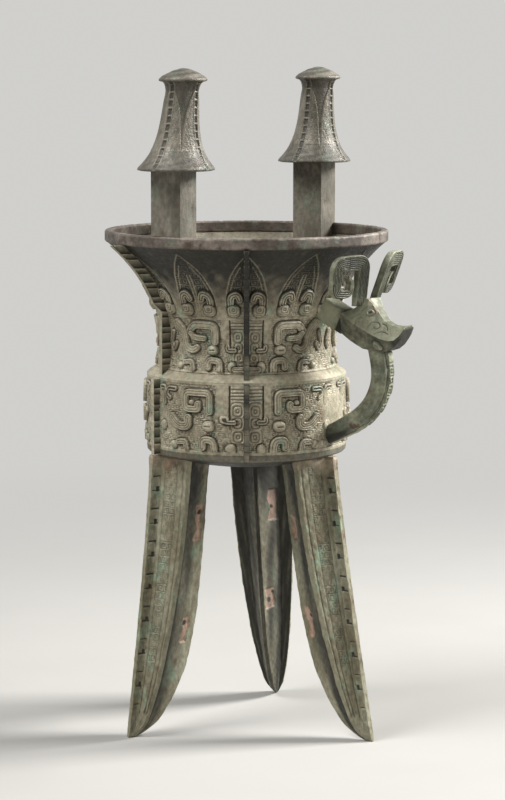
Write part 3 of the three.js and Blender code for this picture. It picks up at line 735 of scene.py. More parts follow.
def flange_plate(name, inner, outer, levels, angle, frame_tone, edge_tones):
    """A plate between two radii at each level, with a sunk cell on its sides between each two levels."""
    bm = bmesh.new()
    bmesh.ops.create_grid(bm, x_segments=1, y_segments=len(levels) - 1, size=0.5)
    for vert in bm.verts:
        level = round((vert.co.y + 0.5) * (len(levels) - 1))
        radius = outer[level] if vert.co.x > 0 else inner[level]
        vert.co = (radius, -FLANGE_THICKNESS / 2, levels[level])
    raised = bmesh.ops.extrude_face_region(bm, geom=bm.faces[:])
    verts = [item for item in raised["geom"] if isinstance(item, bmesh.types.BMVert)]
    bmesh.ops.translate(bm, vec=(0, FLANGE_THICKNESS, 0), verts=verts)
    bmesh.ops.recalc_face_normals(bm, faces=bm.faces)
    sides = [face for face in bm.faces if abs(face.normal.y) > 0.9]
    middle = {face: face.calc_center_median() for face in bm.faces}
    teeth = [face for face in bm.faces if abs(face.normal.y) < 0.1
             and middle[face].x > np.interp(middle[face].z, levels, inner) + 2 and abs(face.normal.z) < 0.95]
    layer = bm.verts.layers.float.new("relief")
    for vert in bm.verts:
        vert[layer] = frame_tone
    bmesh.ops.inset_individual(bm, faces=sides, thickness=FRAME_WIDTH, depth=0)
    for face in sides:
        for vert in face.verts:
            vert[layer] = frame_tone
    bmesh.ops.inset_individual(bm, faces=sides, thickness=FRAME_WIDTH / 2, depth=-CELL_DEPTH)
    bmesh.ops.inset_individual(bm, faces=teeth, thickness=FRAME_WIDTH, depth=-NOTCH_DEPTH)
    # Each cell is painted darker in its lower half, as a painted shadow along its foot
    for face in sides:
        height = face.calc_center_median().z
        for vert in face.verts:
            vert[layer] = -1.0 if vert.co.z < height else -0.15
    for face in teeth:
        for vert in face.verts:
            edge_tone = np.interp(vert.co.z, levels, edge_tones)
            vert[layer] = edge_tone + 0.4 * drift(vert.co.z, 0, 9, angle)
    about_axis = Matrix.Rotation(math.radians(angle), 3, "Z")
    bmesh.ops.rotate(bm, cent=(0, 0, 0), matrix=about_axis, verts=bm.verts)
    obj = object_from(name, bm, smooth=False)
    edge = obj.modifiers.new("softened_edges", "BEVEL")
    edge.width = 0.2 * MM
    edge.segments = 1
    return obj


print("flange cells are sunk", CELL_DEPTH, "mm and its edge notches", NOTCH_DEPTH, "mm")

# %% The ten flanges
# The flange at the front carries painted shade
SHADED_FRONT_FLANGE = 5
FLANGE_ROOT = 2.0
NECK_STEP_RADIUS = 78.4
FLARE_OVERHANG = 9.8
BELLY_FLANGE_RADIUS = 86.0


def ladder(low, high, count):
    """Levels of a ladder of cells that are long and short by turns."""
    cells = np.where(np.arange(count) % 2 == 0, 1.0, 0.62)
    return low + (high - low) * np.concatenate([[0], np.cumsum(cells)]) / cells.sum()


step_z = NECK_FOOT + 46
straight = ladder(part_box("neck_flange_1")[0].z / MM, step_z, 8)
flare = ladder(step_z, NECK_TOP - 0.3, 9)[1:]
neck_edge = np.concatenate([np.full(len(straight), NECK_STEP_RADIUS), neck_radius(flare) + FLARE_OVERHANG])
neck_steps = np.concatenate([straight, flare])
neck_root = neck_radius(neck_steps) - FLANGE_ROOT
belly_flange_low, belly_flange_high = (corner.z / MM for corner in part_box("belly_flange_1"))
belly_steps = ladder(belly_flange_low, belly_flange_high, 9)
belly_root = belly_radius(belly_steps) - FLANGE_ROOT
belly_edge = np.full(len(belly_steps), BELLY_FLANGE_RADIUS)
for place in range(1, 6):
    angle = 60 * place + FLANGE_TURN
    front_in_shade = place == SHADED_FRONT_FLANGE
    # Painted shade on the front flange: dark frames and edge, darkest towards the collar
    frame_tone = -0.95 if front_in_shade else 0.5
    neck_tones = np.linspace(-0.65, -1.3, len(neck_steps)) if front_in_shade else np.full(len(neck_steps), 0.2)
    belly_tones = np.full(len(belly_steps), -0.6 if front_in_shade else 0.2)
    plate = flange_plate(f"neck_flange_toothed_{place}", neck_root, neck_edge, neck_steps, angle,
                         frame_tone, neck_tones)
    finish(plate, body_bronze, "bronze_body", f"neck_flange_{place}")
    plate = flange_plate(f"belly_flange_toothed_{place}", belly_root, belly_edge, belly_steps, angle,
                         frame_tone, belly_tones)
    finish(plate, body_bronze, "bronze_body", f"belly_flange_{place}")

# %% [markdown]
# ## Rim collar
# The mouth ends in a plain thick collar, worn and chipped along its upper edge. A torus cut flat would be
# too even, and sculpting can't be repeated. Here a sheet is wrapped round the collar's section until its
# edges meet, and seeded waves lower the upper edge.

# %% Rim collar
COLLAR_WALL = 6.0
rng = np.random.default_rng(7)


def wavy(angle, count, size, low, high):
    """A gentle seeded unevenness round a circle, in mm."""
    total = np.zeros_like(angle)
    for _ in range(count):
        total += rng.normal() * np.cos(rng.integers(low, high) * angle + rng.uniform(0, 2 * math.pi))
    return total * size / math.sqrt(count)


def collar_place(u, v):
    """Goes round the collar's section, with a worn and chipped upper edge."""
    angle = u * 2 * math.pi
    inner = COLLAR_RADIUS - COLLAR_WALL
    section = [(COLLAR_RADIUS - 0.8, NECK_TOP), (COLLAR_RADIUS, NECK_TOP + 0.8), (COLLAR_RADIUS, RIM_TOP - 1),
               (COLLAR_RADIUS - 1, RIM_TOP), (inner + 1, RIM_TOP), (inner, RIM_TOP - 1), (inner, NECK_TOP),
               (COLLAR_RADIUS - 0.8, NECK_TOP)]
    reach = lengths_along(section)
    radius = np.interp(v * reach[-1], reach, [p[0] for p in section])
    z = np.interp(v * reach[-1], reach, [p[1] for p in section])
    worn = np.clip(wavy(angle, 14, 0.3, 8, 90), -0.2, 0.9)
    upper = smoothstep(RIM_TOP - 2.5, RIM_TOP - 0.5, z)
    z = z - upper * np.abs(worn)
    radius = radius - 0.6 * upper * np.abs(worn)
    tone = 1.6 * upper * smoothstep(0.1, 0.5, np.abs(worn)) - 0.15 * (1 - upper)
    return around(radius, angle, z), {"relief": tone}


collar = relief_sheet("rim_collar_worn", 420, 40, collar_place, wrap=True)
finish(collar, rim_bronze, "bronze_rim", "rim_collar")

# %% [markdown]
# ## Posts
# Two square posts straddle the rim, and their feet run down inside the flare. A cube with loop cuts would
# do for the straight part, but the foot has to follow the curve of the wall. So a rounded square is swept
# upwards, and its outer side is moved to the wall at each level.

# %% Posts
POST_WIDTH = 28.0
POST_DEPTH = 22.0
POST_CORNER = 1.0
POST_CENTRE = COLLAR_RADIUS - 13.2
POST_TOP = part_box("post_cap_1")[0].z / MM
POST_FOOT = 373.0
POST_REACH = 108.5


def rounded_square(u, half_x, half_y, corner):
    """Points round a rounded rectangle, u from 0 to 1, starting in the middle of its +X side."""
    route = [(half_x, 0), (half_x, half_y), (-half_x, half_y), (-half_x, -half_y), (half_x, -half_y),
             (half_x, 0)]
    bent = np.array(rounded(route, corner))
    reach = lengths_along(bent)
    return np.interp(u * reach[-1], reach, bent[:, 0]), np.interp(u * reach[-1], reach, bent[:, 1])


def post_place(side):
    """Sweeps the post from inside the flare, over the rim, up to its cap."""
    levels = np.array([POST_FOOT, 380, 388, 396, RIM_TOP - 0.1, RIM_TOP, POST_TOP - 0.3, POST_TOP])
    outer = np.minimum(neck_radius(levels) - 1.5, POST_REACH)
    outer[-3:] = POST_CENTRE + POST_DEPTH / 2

    def place(u, v):
        z = np.interp(v, np.linspace(0, 1, len(levels)), levels)
        far = np.interp(z, levels, outer)
        near = POST_CENTRE - POST_DEPTH / 2
        across, along = rounded_square(u, POST_WIDTH / 2, POST_DEPTH / 2, POST_CORNER)
        y = near + (far - near) * (along / POST_DEPTH + 0.5)
        points = np.stack([across, side * y, z], axis=1)
        return points, {"relief": 0.12 * drift(100 * u, z, 16, 1.0) - 0.08}

    return place


for number, side in ((1, 1), (2, -1)):
    post = relief_sheet(f"post_cast_{number}", 64, 70, post_place(side), wrap=True, caps=True)
    post.data.set_sharp_from_angle(angle=math.radians(40))
    finish(post, post_bronze, "bronze_post", f"post_{number}")

# %% [markdown]
# ## Post caps
# Each post wears a tall cap like a closed umbrella: a flared skirt with hanging blades between four channels
# of small cells, and a low whorled button on top. Spin would turn the plain form, but the ornament needs
# many points, so one fine sheet is wrapped round the profile and carries both. The caps were cast leaning,
# one more than the other, and the sheet leans with its height.

# %% Profile of a cap
CAP_BASE = POST_TOP
CAP_HEIGHT = 80.0
CAP_BUTTON = 69.0


def cap_profile():
    """Heights and radii from the middle of the underside, up the flare, to the top of the button."""
    h_flare = np.linspace(2, 58, 60)
    r_flare = 12.8 + 17.2 * np.exp((2 - h_flare) / 16.5)
    lip = [(61, 13.2), (64, 13.8), (66.4, 14.8), (67.6, 16), (68.2, 18.2), (69, 18.7)]
    dome = [(70.2, 18.4), (71.9, 16.4), (74.2, 12.6), (76.4, 7.8), (77.8, 3), (78.2, 0)]
    points = [(0, 0), (0, 29), (0.5, 30), (1.6, 30)] + list(zip(h_flare, r_flare)) + lip + dome
    return np.array(points)


print("cap profile:", len(cap_profile()), "points")

# %% Relief of a cap
CAP_SKIRT = 15.5
CAP_PANEL_TOP = 58.5
CELL_STEP = 6.0


def cap_relief(theta, h, r):
    """Four channels of small cells, a hanging blade between each two, and a whorl on the button."""
    from_rib = np.radians(np.abs((theta + 45) % 90 - 45)) * r
    from_blade = np.radians(np.abs(theta % 90 - 45)) * r
    relief = Relief(from_blade, h, ground=False)
    relief.tone = 0.22 * drift(theta * r / 57, h, 11, 1.0) - 0.26 - 0.14 * smoothstep(CAP_SKIRT, 8, h)
    skirt = smoothstep(CAP_BUTTON, CAP_BUTTON - 1.5, h) * smoothstep(0.8, 2.0, h)
    spirals = square_spirals(from_blade, h, 4.6, 1.75)
    panel = skirt * smoothstep(CAP_SKIRT - 0.3, CAP_SKIRT + 0.3, h)
    panel = panel * smoothstep(58.8, 58.2, h)
    relief.lay(panel, 0.1 * spirals + 0.1, 0.2 * spirals + 0.1 + 0.4 * drift(theta * r / 57, h, 9, 2.0))
    half = np.interp(h, [CAP_SKIRT, 32, 44, 54, 62, 68], [0.9, 1.7, 3.0, 5.2, 8.4, 12])
    hangs = skirt * smoothstep(CAP_SKIRT, CAP_SKIRT + 0.6, h)
    relief.lay(hangs * smoothstep(half + 0.3, half - 0.3, from_blade), -0.5, -0.45 * smoothstep(26, 60, h))
    relief.lay(hangs * np.exp(-((from_blade - half) / 0.4) ** 2), 0.3, 0.4)
    for level in (CAP_SKIRT, CAP_PANEL_TOP):
        relief.lay(skirt * np.exp(-((h - level) / 0.35) ** 2) * (from_blade > half), 0.25, 0.4)
    relief.lay(smoothstep(3.4, 2.8, h) * smoothstep(0.4, 1.2, h), -0.2, -0.35)
    bar = smoothstep(0.36, 0.42, np.abs((h / CELL_STEP) % 1 - 0.5))
    relief.lay(skirt * np.exp(-((from_rib - 2.3) / 0.5) ** 2), 0.5, 0.5)
    channel = skirt * smoothstep(1.9, 1.4, from_rib)
    relief.lay(channel, 0.1 * bar - 0.8 * (1 - bar), -0.25 * bar - 0.7 * (1 - bar))
    whorl = smoothstep(CAP_BUTTON + 0.5, CAP_BUTTON + 2.5, h) * np.cos(np.radians(3 * theta) + r * 0.9)
    relief.height += 0.22 * whorl
    relief.tone += 0.25 * whorl
    return relief


print("a cap's channel has", round(CAP_BUTTON / CELL_STEP), "cells")

# %% Post caps
UNDERSIDE = 30.0
UNDERSIDE_SHARE = 0.04


def cap_place(side, lean, shift):
    """Wraps the grid round the cap and leans it a little towards the handle, as it was cast."""
    profile = cap_profile()
    run = lengths_along(profile)

    def place(u, v):
        station = np.interp(v, [0, UNDERSIDE_SHARE, 1], [0, UNDERSIDE, run[-1]])
        h = np.interp(station, run, profile[:, 0])
        r = np.interp(station, run, profile[:, 1])
        theta = u * 360
        relief = cap_relief(theta, h, r)
        radius = np.where(r > 2, r + relief.height * smoothstep(2, 5, r), r)
        angle = np.radians(theta)
        points = np.stack([radius * np.cos(angle) + lean * h / CAP_HEIGHT + shift,
                           radius * np.sin(angle) + side * POST_CENTRE, CAP_BASE + h], axis=1)
        return points, {"relief": relief.tone}

    return place


for number, side, lean, shift in ((1, 1, 4.0, 0.0), (2, -1, 8.0, 2.3)):
    cap = relief_sheet(f"post_cap_beaded_{number}", 288, 190, cap_place(side, lean, shift), wrap=True)
    finish(cap, post_bronze, "bronze_post", f"post_cap_{number}")

# %% [markdown]
# ## Legs
# Each leg is a blade with a kite-shaped section: a toothed spine outside, two roof-like wings with a band of
# spirals, and a hollow rib behind, which broadens into the floor at its top. It splays outwards and tapers
# to a point. A box with loop cuts could be pulled into this, but the section changes all the way down, so
# one grid is wrapped round it instead: its columns follow the section's corners and its rows the height.
# Small windows in the rib, left by the core's supports, show the clay inside; they are sunk and painted
# from a second attribute.

# %% A grid wrapped round a section
def round_section(u, columns):
    """Which edge of a mirrored section each point is on, how far along it, and on which side."""
    ends = np.concatenate([[0], np.cumsum(columns)])
    step = np.abs(2 * u - 1) * ends[-1]
    part = np.clip(np.searchsorted(ends, step + 1e-6, side="right") - 1, 0, len(columns) - 1)
    along = (step - ends[part]) / np.array(columns)[part]
    return part, along, np.where(u < 0.5, 1.0, -1.0)


def edge_runs(corners, part):
    """Where the edge under each point starts, and how far it goes: a, b, then the change of both."""
    a0, b0 = (np.choose(part, [corner[k] for corner in corners[:-1]]) for k in (0, 1))
    a1, b1 = (np.choose(part, [corner[k] for corner in corners[1:]]) for k in (0, 1))
    return a0, b0, a1 - a0, b1 - b0


print("halfway round half a square:", round_section(np.array([0.75]), (5, 5))[:2])

# %% Section of a leg
FOOT_ROUNDING = 0.06
ROOT_FLARE = 5.0


def leg_section(t):
    """The half section at t, from 0 at the top to 1 at the foot: a list of (back, y) corners in mm."""
    fullness = 1 - 0.76 * t ** 2.2 - 0.24 * t ** 14

    def mix(foot, top):
        return foot + (top - foot) * fullness

    proud = mix(4, 8)
    setback = mix(7, 19.5)
    wing = mix(2, 4)
    half = mix(2.6, 25.5)
    spine = mix(2.6, 2.7)
    depth = 14 + 36 * (1 - t ** 6.5) + ROOT_FLARE * np.exp(-t * LEG_HEIGHT / ROOT_FLARE)
    tip = 0.3 + 0.7 * np.sqrt(1 - np.clip((t - 1 + FOOT_ROUNDING) / FOOT_ROUNDING, 0, 1) ** 2)
    corners = [(0 * t, 0 * t), (0 * t, spine), (proud, spine), (setback, half), (setback + wing, half),
               (setback + 1.5 * wing, mix(2.6, 15)), (depth, 1.5 + 0 * t), (depth, 0 * t)]
    return [(back * tip, y * tip) for back, y in corners]


print("a leg's section has", len(leg_section(np.zeros(1))), "corners on each side")

# %% Relief of a leg
SPINE_FRONT, SPINE_SIDE, ROOF, WING_EDGE, WING_BACK, RIB = range(6)
CELL_PERIOD = 26.0
LONG_CELL = 14.5
JOINT_TOP = 221.0


def joint_lumps(part, along, z, low):
    """Where the lumpy joint to the body covers the leg, from this level up."""
    return smoothstep(low, JOINT_TOP, z + 5 * drift(30 * along + 40 * part, z, 16, 3.0))


def leg_relief(part, along, width, z, wing_shadow):
    """Relief of the leg's faces: part is the number of the section's edge, along runs over it from 0 to 1."""
    w = along * width
    roof = Relief(w, z, cell=5.6, pitch=2.0)
    roof.height *= 0.8
    roof.tone = 0.9 * roof.tone - 0.1
    border = smoothstep(0.17, 0.15, along) + smoothstep(0.62, 0.64, along)
    roof.plain(np.clip(border + smoothstep(62, 48, z), 0, 1), 0.25)
    for share in (0.15, 0.64, 0.88):
        roof.lay(np.exp(-(width * (along - share) / 0.5) ** 2) * (width > 9), -0.5, -0.55)

    # Cells on the spine's sides: long and short by turns, a cut at each foot, a hook on the short ones
    step = z % CELL_PERIOD
    short = step > LONG_CELL
    rise = step - LONG_CELL * short
    room = np.where(short, CELL_PERIOD - LONG_CELL, LONG_CELL)
    sunk = smoothstep(0.16, 0.26, along) * smoothstep(0.9, 0.8, along)
    sunk = sunk * smoothstep(1.2, 1.8, rise) * smoothstep(room - 0.8, room - 1.4, rise)
    cut = smoothstep(0.75, 0.35, np.abs(rise - 0.9)) * smoothstep(0.12, 0.2, along)
    hook = short * smoothstep(0.16, 0.1, np.abs(along - 0.78)) * smoothstep(4.4, 3.8, rise)
    cut = np.maximum(cut, hook) * smoothstep(18, 24, z)
    sides = -0.5 * sunk - 0.8 * cut
    height = np.select([part == SPINE_SIDE, part == ROOF], [sides, roof.height], 0.0)
    tone = np.select([part == SPINE_FRONT, part == SPINE_SIDE, part == ROOF],
                     [0.8 + 0 * z, 0.35 - 0.5 * sunk - 1.3 * cut, roof.tone + 0.1], 0.0)

    # Lumps of the joint to the body at the top and streaks on the plain faces; painted shade under the floor
    # on the inner faces, under the wing and beside it on the rib, and painted highlights on the wing's edge
    # and the rib's crest
    lump = joint_lumps(part, along, z, JOINT_TOP - 7)
    streak = 0.1 * np.sin(z / 9 + 5 * along) + 0.12 * np.sin(z / 23 + 11 * along)
    # The rib's side: a painted highlight at its crest and a painted shadow beside the wing, deepened by
    # wing_shadow
    rib = 0.3 * smoothstep(0.66, 0.88, along) - 0.5 * smoothstep(0.25, 0.05, along)
    rib = rib + wing_shadow * (0.35 * smoothstep(0.66, 0.88, along) - smoothstep(0.74, 0.4, along))
    # Painted highlight on the wing's edge, painted shade under the wing
    painted_light_and_shade = np.select([part == WING_EDGE, part == WING_BACK, part == RIB], [1.4, -0.2, rib], 0.0)
    inner = part > WING_EDGE
    tone = tone + painted_light_and_shade + np.where(inner, streak - 0.6 * smoothstep(172, 208, z), 0)
    around_leg = 30 * along + 40 * part
    height = height + 0.35 * drift(around_leg, z, 15, 7.0) + 0.25 * drift(around_leg, z, 5, 8.0)
    # The lumps are pale outside and painted dark on the inner faces, as painted shade under the floor
    lump_tone = np.where(inner, -0.6, 1.2)
    return height * (1 - lump) + 0.9 * lump, tone * (1 - lump) + lump_tone * lump


print("leg cells: a long and a short one on every", CELL_PERIOD, "mm")

# %% Windows to the clay
WINDOW_EDGE = 0.02
WINDOW_DEPTH = 1.2

# For each leg, its windows: lowest and highest level, the share of the rib's side that they cover, from the
# wing to the crest, and the side, 0 for both
CLAY_WINDOWS = (
    ((156.0, 176.0, 0.62, 0.86, 0), (78.0, 104.0, 0.58, 0.80, 0)),
    ((157.0, 185.0, 0.05, 0.50, -1), (82.0, 101.0, 0.40, 0.85, -1)),
    ((154.0, 184.0, 0.60, 0.82, 0), (73.0, 95.0, 0.54, 0.76, 0)),
)


def clay_window(windows, part, along, side, z):
    """1 where a window shows the core, with ragged sides."""
    window = np.zeros_like(z)
    for low, high, near, far, face in windows:
        across = along + part - RIB + 0.08 * drift(20 * along, z, 9, low)
        inside = smoothstep(near - WINDOW_EDGE, near + WINDOW_EDGE, across)
        inside = inside * smoothstep(far + WINDOW_EDGE, far - WINDOW_EDGE, across)
        inside = inside * (part >= RIB) * (face * side >= 0)
        inside = inside * smoothstep(low, low + 1.5, z) * smoothstep(high, high - 1.5, z)
        window = np.maximum(window, inside)
    return window


print("clay windows:", sum(len(windows) for windows in CLAY_WINDOWS))

# %% Legs
LEG_ANGLES = (0.0, 114.0, 240.0)
STANCE_SHIFT = 8.0
SECTION_COLUMNS = (4, 9, 38, 5, 10, 22, 2)
LEG_ROWS = 320
LEG_EDGE = 84.5
LEG_SPLAY = 28.5
SPLAY_POWER = 1.2
# Painted shade on the back leg, which stands in the shade of the body
LEG_PAINTED_SHADE = (0.0, 0.72, 0.0)
# How deep each leg's painted shadow of the wing lies on its rib
LEG_WING_SHADOW = (0.8, 0.0, 0.55)


def leg_place(angle, windows, painted_shade, wing_shadow):
    """Wraps the grid round the leg at this angle, and says where the core shows."""
    turn = math.radians(angle)

    def place(u, v):
        t = 1 - v
        z = (LEG_HEIGHT - 0.3) * v
        part, along, side = round_section(u, SECTION_COLUMNS)
        back0, y0, back_run, y_run = edge_runs(leg_section(t), part)
        width = np.hypot(back_run, y_run)
        height, tone = leg_relief(part, along, width, z, wing_shadow)
        window = clay_window(windows, part, along, side, z)
        height = height - WINDOW_DEPTH * window
        fade = smoothstep(0.0, 0.04, v) * smoothstep(1.0, 0.99, v)
        shift = height * fade / np.maximum(width, 0.1)
        back = back0 + back_run * along - y_run * shift
        y = y0 + y_run * along + back_run * shift
        x = LEG_EDGE + LEG_SPLAY * t ** SPLAY_POWER - back
        points = np.stack([x * math.cos(turn) - side * y * math.sin(turn) + STANCE_SHIFT * t,
                           x * math.sin(turn) + side * y * math.cos(turn), z], axis=1)
        hole = window * smoothstep(0.5, 0.85, drift(24 * along, z, 7, 1.0 + angle))
        scar = joint_lumps(part, along, z, JOINT_TOP - 8)
        # The back leg is painted darker as painted shade, less on its clay windows
        tone = tone - painted_shade * (1 - 0.35 * window) - 0.9 * hole
        return points, {"relief": tone, "clay": np.maximum(window, 0.35 * scar)}

    return place


for number, looks in enumerate(zip(LEG_ANGLES, CLAY_WINDOWS, LEG_PAINTED_SHADE, LEG_WING_SHADOW), 1):
    leg = relief_sheet(f"leg_blade_{number}", 2 * sum(SECTION_COLUMNS), LEG_ROWS, leg_place(*looks),
                       wrap=True, caps=True)
    leg.data.set_sharp_from_angle(angle=math.radians(38))
    finish(leg, leg_bronze, "bronze_leg", f"leg_{number}")

# %% [markdown]
# ## Handle
# The handle is a strap that leaves the belly and runs up into the mouth of an animal, which a short arm
# holds to the neck. A curve object with a bevel would give a plain bar, but its section couldn't be carved.
# So a rounded bar is swept along a flat route, with its lines carved as it goes, and the same sweep serves
# the horns.

# %% A swept bar
def sweep(route, half_across, half_deep, corner, carve, to_space):
    """Sweeps a rounded bar along a flat route. half_across is a list of half widths spread over the route.

    carve(across, deep, station, run) gives a height and a tone; to_space turns flat (a, b, deep) into points.
    """
    line = np.array(route)
    stations = lengths_along(line)
    heading = np.gradient(line, stations, axis=0)
    heading /= np.linalg.norm(heading, axis=1, keepdims=True)
    widest = max(half_across)

    def place(u, v):
        station = v * stations[-1]
        a, b = (np.interp(station, stations, line[:, k]) for k in (0, 1))
        ta, tb = (np.interp(station, stations, heading[:, k]) for k in (0, 1))
        across, deep = rounded_square(u, widest, half_deep, corner)
        across = across * np.interp(v, np.linspace(0, 1, len(half_across)), half_across) / widest
        height, tone = carve(across, deep, station, stations[-1])
        on_deep = np.abs(deep) > half_deep - 0.01
        deep = deep + np.sign(deep) * height * on_deep
        across = across + np.sign(across) * height * ~on_deep
        return to_space(a - tb * across, b + ta * across, deep), {"relief": tone}

    return place


def upright(r, z, y):
    """Points in the handle's own upright plane."""
    return np.stack([r, y, z], axis=1)


def curve_through(points, steps_each=14):
    """A smooth route through points, as a chain of cubic pieces."""
    p = np.array([points[0], *points, points[-1]], float)
    t = np.linspace(0, 1, steps_each, endpoint=False)[:, None]
    pieces = []
    for a, b, c, d in zip(p, p[1:], p[2:], p[3:]):
        pieces.append(0.5 * (2 * b + (c - a) * t + (2 * a - 5 * b + 4 * c - d) * t ** 2
                             + (3 * b - a - 3 * c + d) * t ** 3))
    return np.concatenate([*pieces, p[-1:]])


print("a curve through three points:", len(curve_through([(0, 0), (10, 5), (20, 0)])), "stations")

# %% Arm and strap
def plain_carving(across, deep, station, run):
    """The arm is smooth, painted pale as a painted highlight, and dark with a painted shadow where it enters
    the head.
    """
    worn = 0.2 * np.sin(station / 4.1 + across / 3) + 0.15 * np.sin(station / 1.7 - deep)
    # Painted highlight along the whole arm and painted shadow towards its end at the head
    return 0 * across, worn + 3.2 - 4.2 * smoothstep(run - 10, run - 4, station)


def strap_carving(across, deep, station, run):
    """The strap's outer face has a raised strip of worn scrolls under a plain block; its sides are smooth,
    and its lower end is darkened with painted shade.
    """
    strip = smoothstep(6.7, 6.95, across) * smoothstep(4.2, 3.4, np.abs(deep)) * smoothstep(9, 11, station)
    block = smoothstep(19, 18, station)
    scrolls = square_spirals(deep + 3.4, station + 0.8 * drift(deep, station, 9, 1.0), 6.8, 2.3)
    height = strip * (1.5 + 0.6 * block + 0.4 * scrolls * (1 - block)) * smoothstep(run, run - 30, station)
    groove = smoothstep(6.2, 6.9, across) * smoothstep(0.7, 0.2, np.abs(np.abs(deep) - 4.6))
    worn = 0.16 * drift(6 * across, station, 15, 2.0) - 0.1
    # Painted shade on the strap's lower end, deepest on its outer side
    worn = worn - 0.6 * smoothstep(-2, 6, across) * smoothstep(run - 42, run - 12, station)
    worn = worn - 0.5 * smoothstep(run - 30, run - 6, station)
    return height, worn * (1 - strip) + strip * (0.75 * block + (1 - block) * 0.8 * scrolls) - 0.6 * groove


arm_route = [(72.5, 344.9), (80, 341.2), (97, 333.1)]
arm_place = sweep(arm_route, [9.5, 9.5], 8, 2.4, plain_carving, upright)
arm = relief_sheet("handle_arm_cast", 60, 40, arm_place, wrap=True, caps=True)
finish(arm, handle_bronze, "bronze_handle", "handle_arm")

strap_route = curve_through([(123, 320.7), (126, 309), (127.8, 297), (126.6, 285), (121, 272.4), (111, 261.4),
                             (97, 252.2), (80, 243)])
strap_place = sweep(strap_route, [7, 7], 7.5, 3, strap_carving, upright)
strap = relief_sheet("handle_strap_cast", 96, 220, strap_place, wrap=True, caps=True)
finish(strap, handle_bronze, "bronze_handle", "handle_strap")

# %% [markdown]
# ## Horns
# Two flat scrolls stand on the animal's forehead, with fine stepped lines running round them. A spiral curve
# could be extruded, but then the lines wouldn't follow it. The bar is swept along the scroll's own route,
# flat, and the last step stands it up: swept back, and leaning forwards and outwards.

# %% Horns
HORN_FACE = 120.0
HORN_SWEEP = math.radians(14)
HORN_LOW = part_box("horn_left")[0].z / MM
HORN_HEIGHT = 36.0
HORN_FORWARD = 11.0
HORN_OUTWARD = 6.0
HORN_THICKNESS = 6.0
horn_route = rounded([(13.4, HORN_LOW - 6), (13.4, HORN_LOW + 28.6), (41, HORN_LOW + 28.6),
                      (41, HORN_LOW + 4.4), (25.6, HORN_LOW + 4.4), (25, HORN_LOW + 14),
                      (29.5, HORN_LOW + 17.6)], 6, arc_steps=12)
horn_widths = [5.4, 6.2, 6.2, 6.2, 6.3, 6.2, 5.8, 5.0, 4.6, 4.0, 3.4, 2.4, 0.8]


def horn_carving(across, deep, station, run):
    """Fine stepped grooves run round the scroll on its forward face, inside a smooth rim."""
    face = smoothstep(-1.9, -2.6, deep)
    inside = smoothstep(5.2, 4.7, np.abs(across)) * smoothstep(run - 9, run - 14, station)
    jog = 0.8 * smoothstep(-0.2, 0.2, np.sin(station / 2.6) + 0.5 * np.sin(station / 1.1))
    groove = smoothstep(0.2, -0.7, np.cos(2 * math.pi * (across + jog) / 1.6))
    carved = face * inside * groove
    return -0.5 * carved, -0.2 - 1.0 * carved - 0.2 * face * inside


def horn_space(side):
    """Stands the flat scroll on the forehead, swept back but leaning forwards and outwards."""
    def to_space(q, z, deep):
        rise = (z - HORN_LOW) / HORN_HEIGHT
        q = q + HORN_OUTWARD * rise
        back = deep + HORN_THICKNESS / 2 - HORN_FORWARD * rise
        x = HORN_FACE - q * math.sin(HORN_SWEEP) - back * math.cos(HORN_SWEEP)
        y = side * (q * math.cos(HORN_SWEEP) - back * math.sin(HORN_SWEEP))
        return np.stack([x, y, z], axis=1)
    return to_space


for name, side in (("left", 1), ("right", -1)):
    horn_place = sweep(horn_route, horn_widths, HORN_THICKNESS / 2, 1.6, horn_carving, horn_space(side))
    horn = relief_sheet(f"horn_scroll_{name}", 80, 260, horn_place, wrap=True, caps=True)
    finish(horn, handle_bronze, "bronze_handle", f"horn_{name}")

# %% [markdown]
# ## Animal head
# The head has a roof-like face with a boss for each eye and looks away from the vessel, its muzzle turned
# up. It could be sculpted, but a few measured sections give it: ridge, cheek edge and chin at each station,
# with the grid wrapped round them as on the legs, and the face drawn on it in thin lines.

# %% Sections of the head
# Stations along the head: radius, then height and half width at the ridge, the cheek edge and the chin
HEAD_STATIONS = np.array([
    (96, 341.6, 9, 340.6, 12, 325.4, 9.5),
    (100, 342.6, 9, 339.6, 13.4, 322.6, 9.5),
    (104, 344.2, 9, 337, 14.4, 320, 9.5),
    (109.5, 346.8, 9, 334.2, 15, 317, 9),
    (113, 351, 9.5, 332.4, 15.2, 315.4, 9),
    (115, 353.4, 9.5, 331.4, 15.2, 314.4, 9),
    (120, 353.4, 9, 329.2, 15.2, 313.6, 8.5),
    (123, 349, 7, 327.6, 15, 313.4, 8.2),
    (126, 344.4, 5.6, 326.2, 14.6, 313.2, 8),
    (133, 336, 4.4, 323.2, 13.6, 312.6, 7.6),
    (139, 333.2, 4.2, 322, 12.4, 314.6, 7.2),
    (144, 332.8, 4.2, 322.4, 11.2, 318.4, 7),
    (148, 333.2, 4.4, 326, 9.8, 323.6, 6.6),
    (151.3, 333.8, 5, 331.4, 7.5, 330.6, 5.5),
])
print("head from", HEAD_STATIONS[0, 0], "to", HEAD_STATIONS[-1, 0], "mm from the vessel's axis")

# %% Carving of the face and jaw
EYE_RADIUS = 122.4
EYE_HEIGHT = 343.0


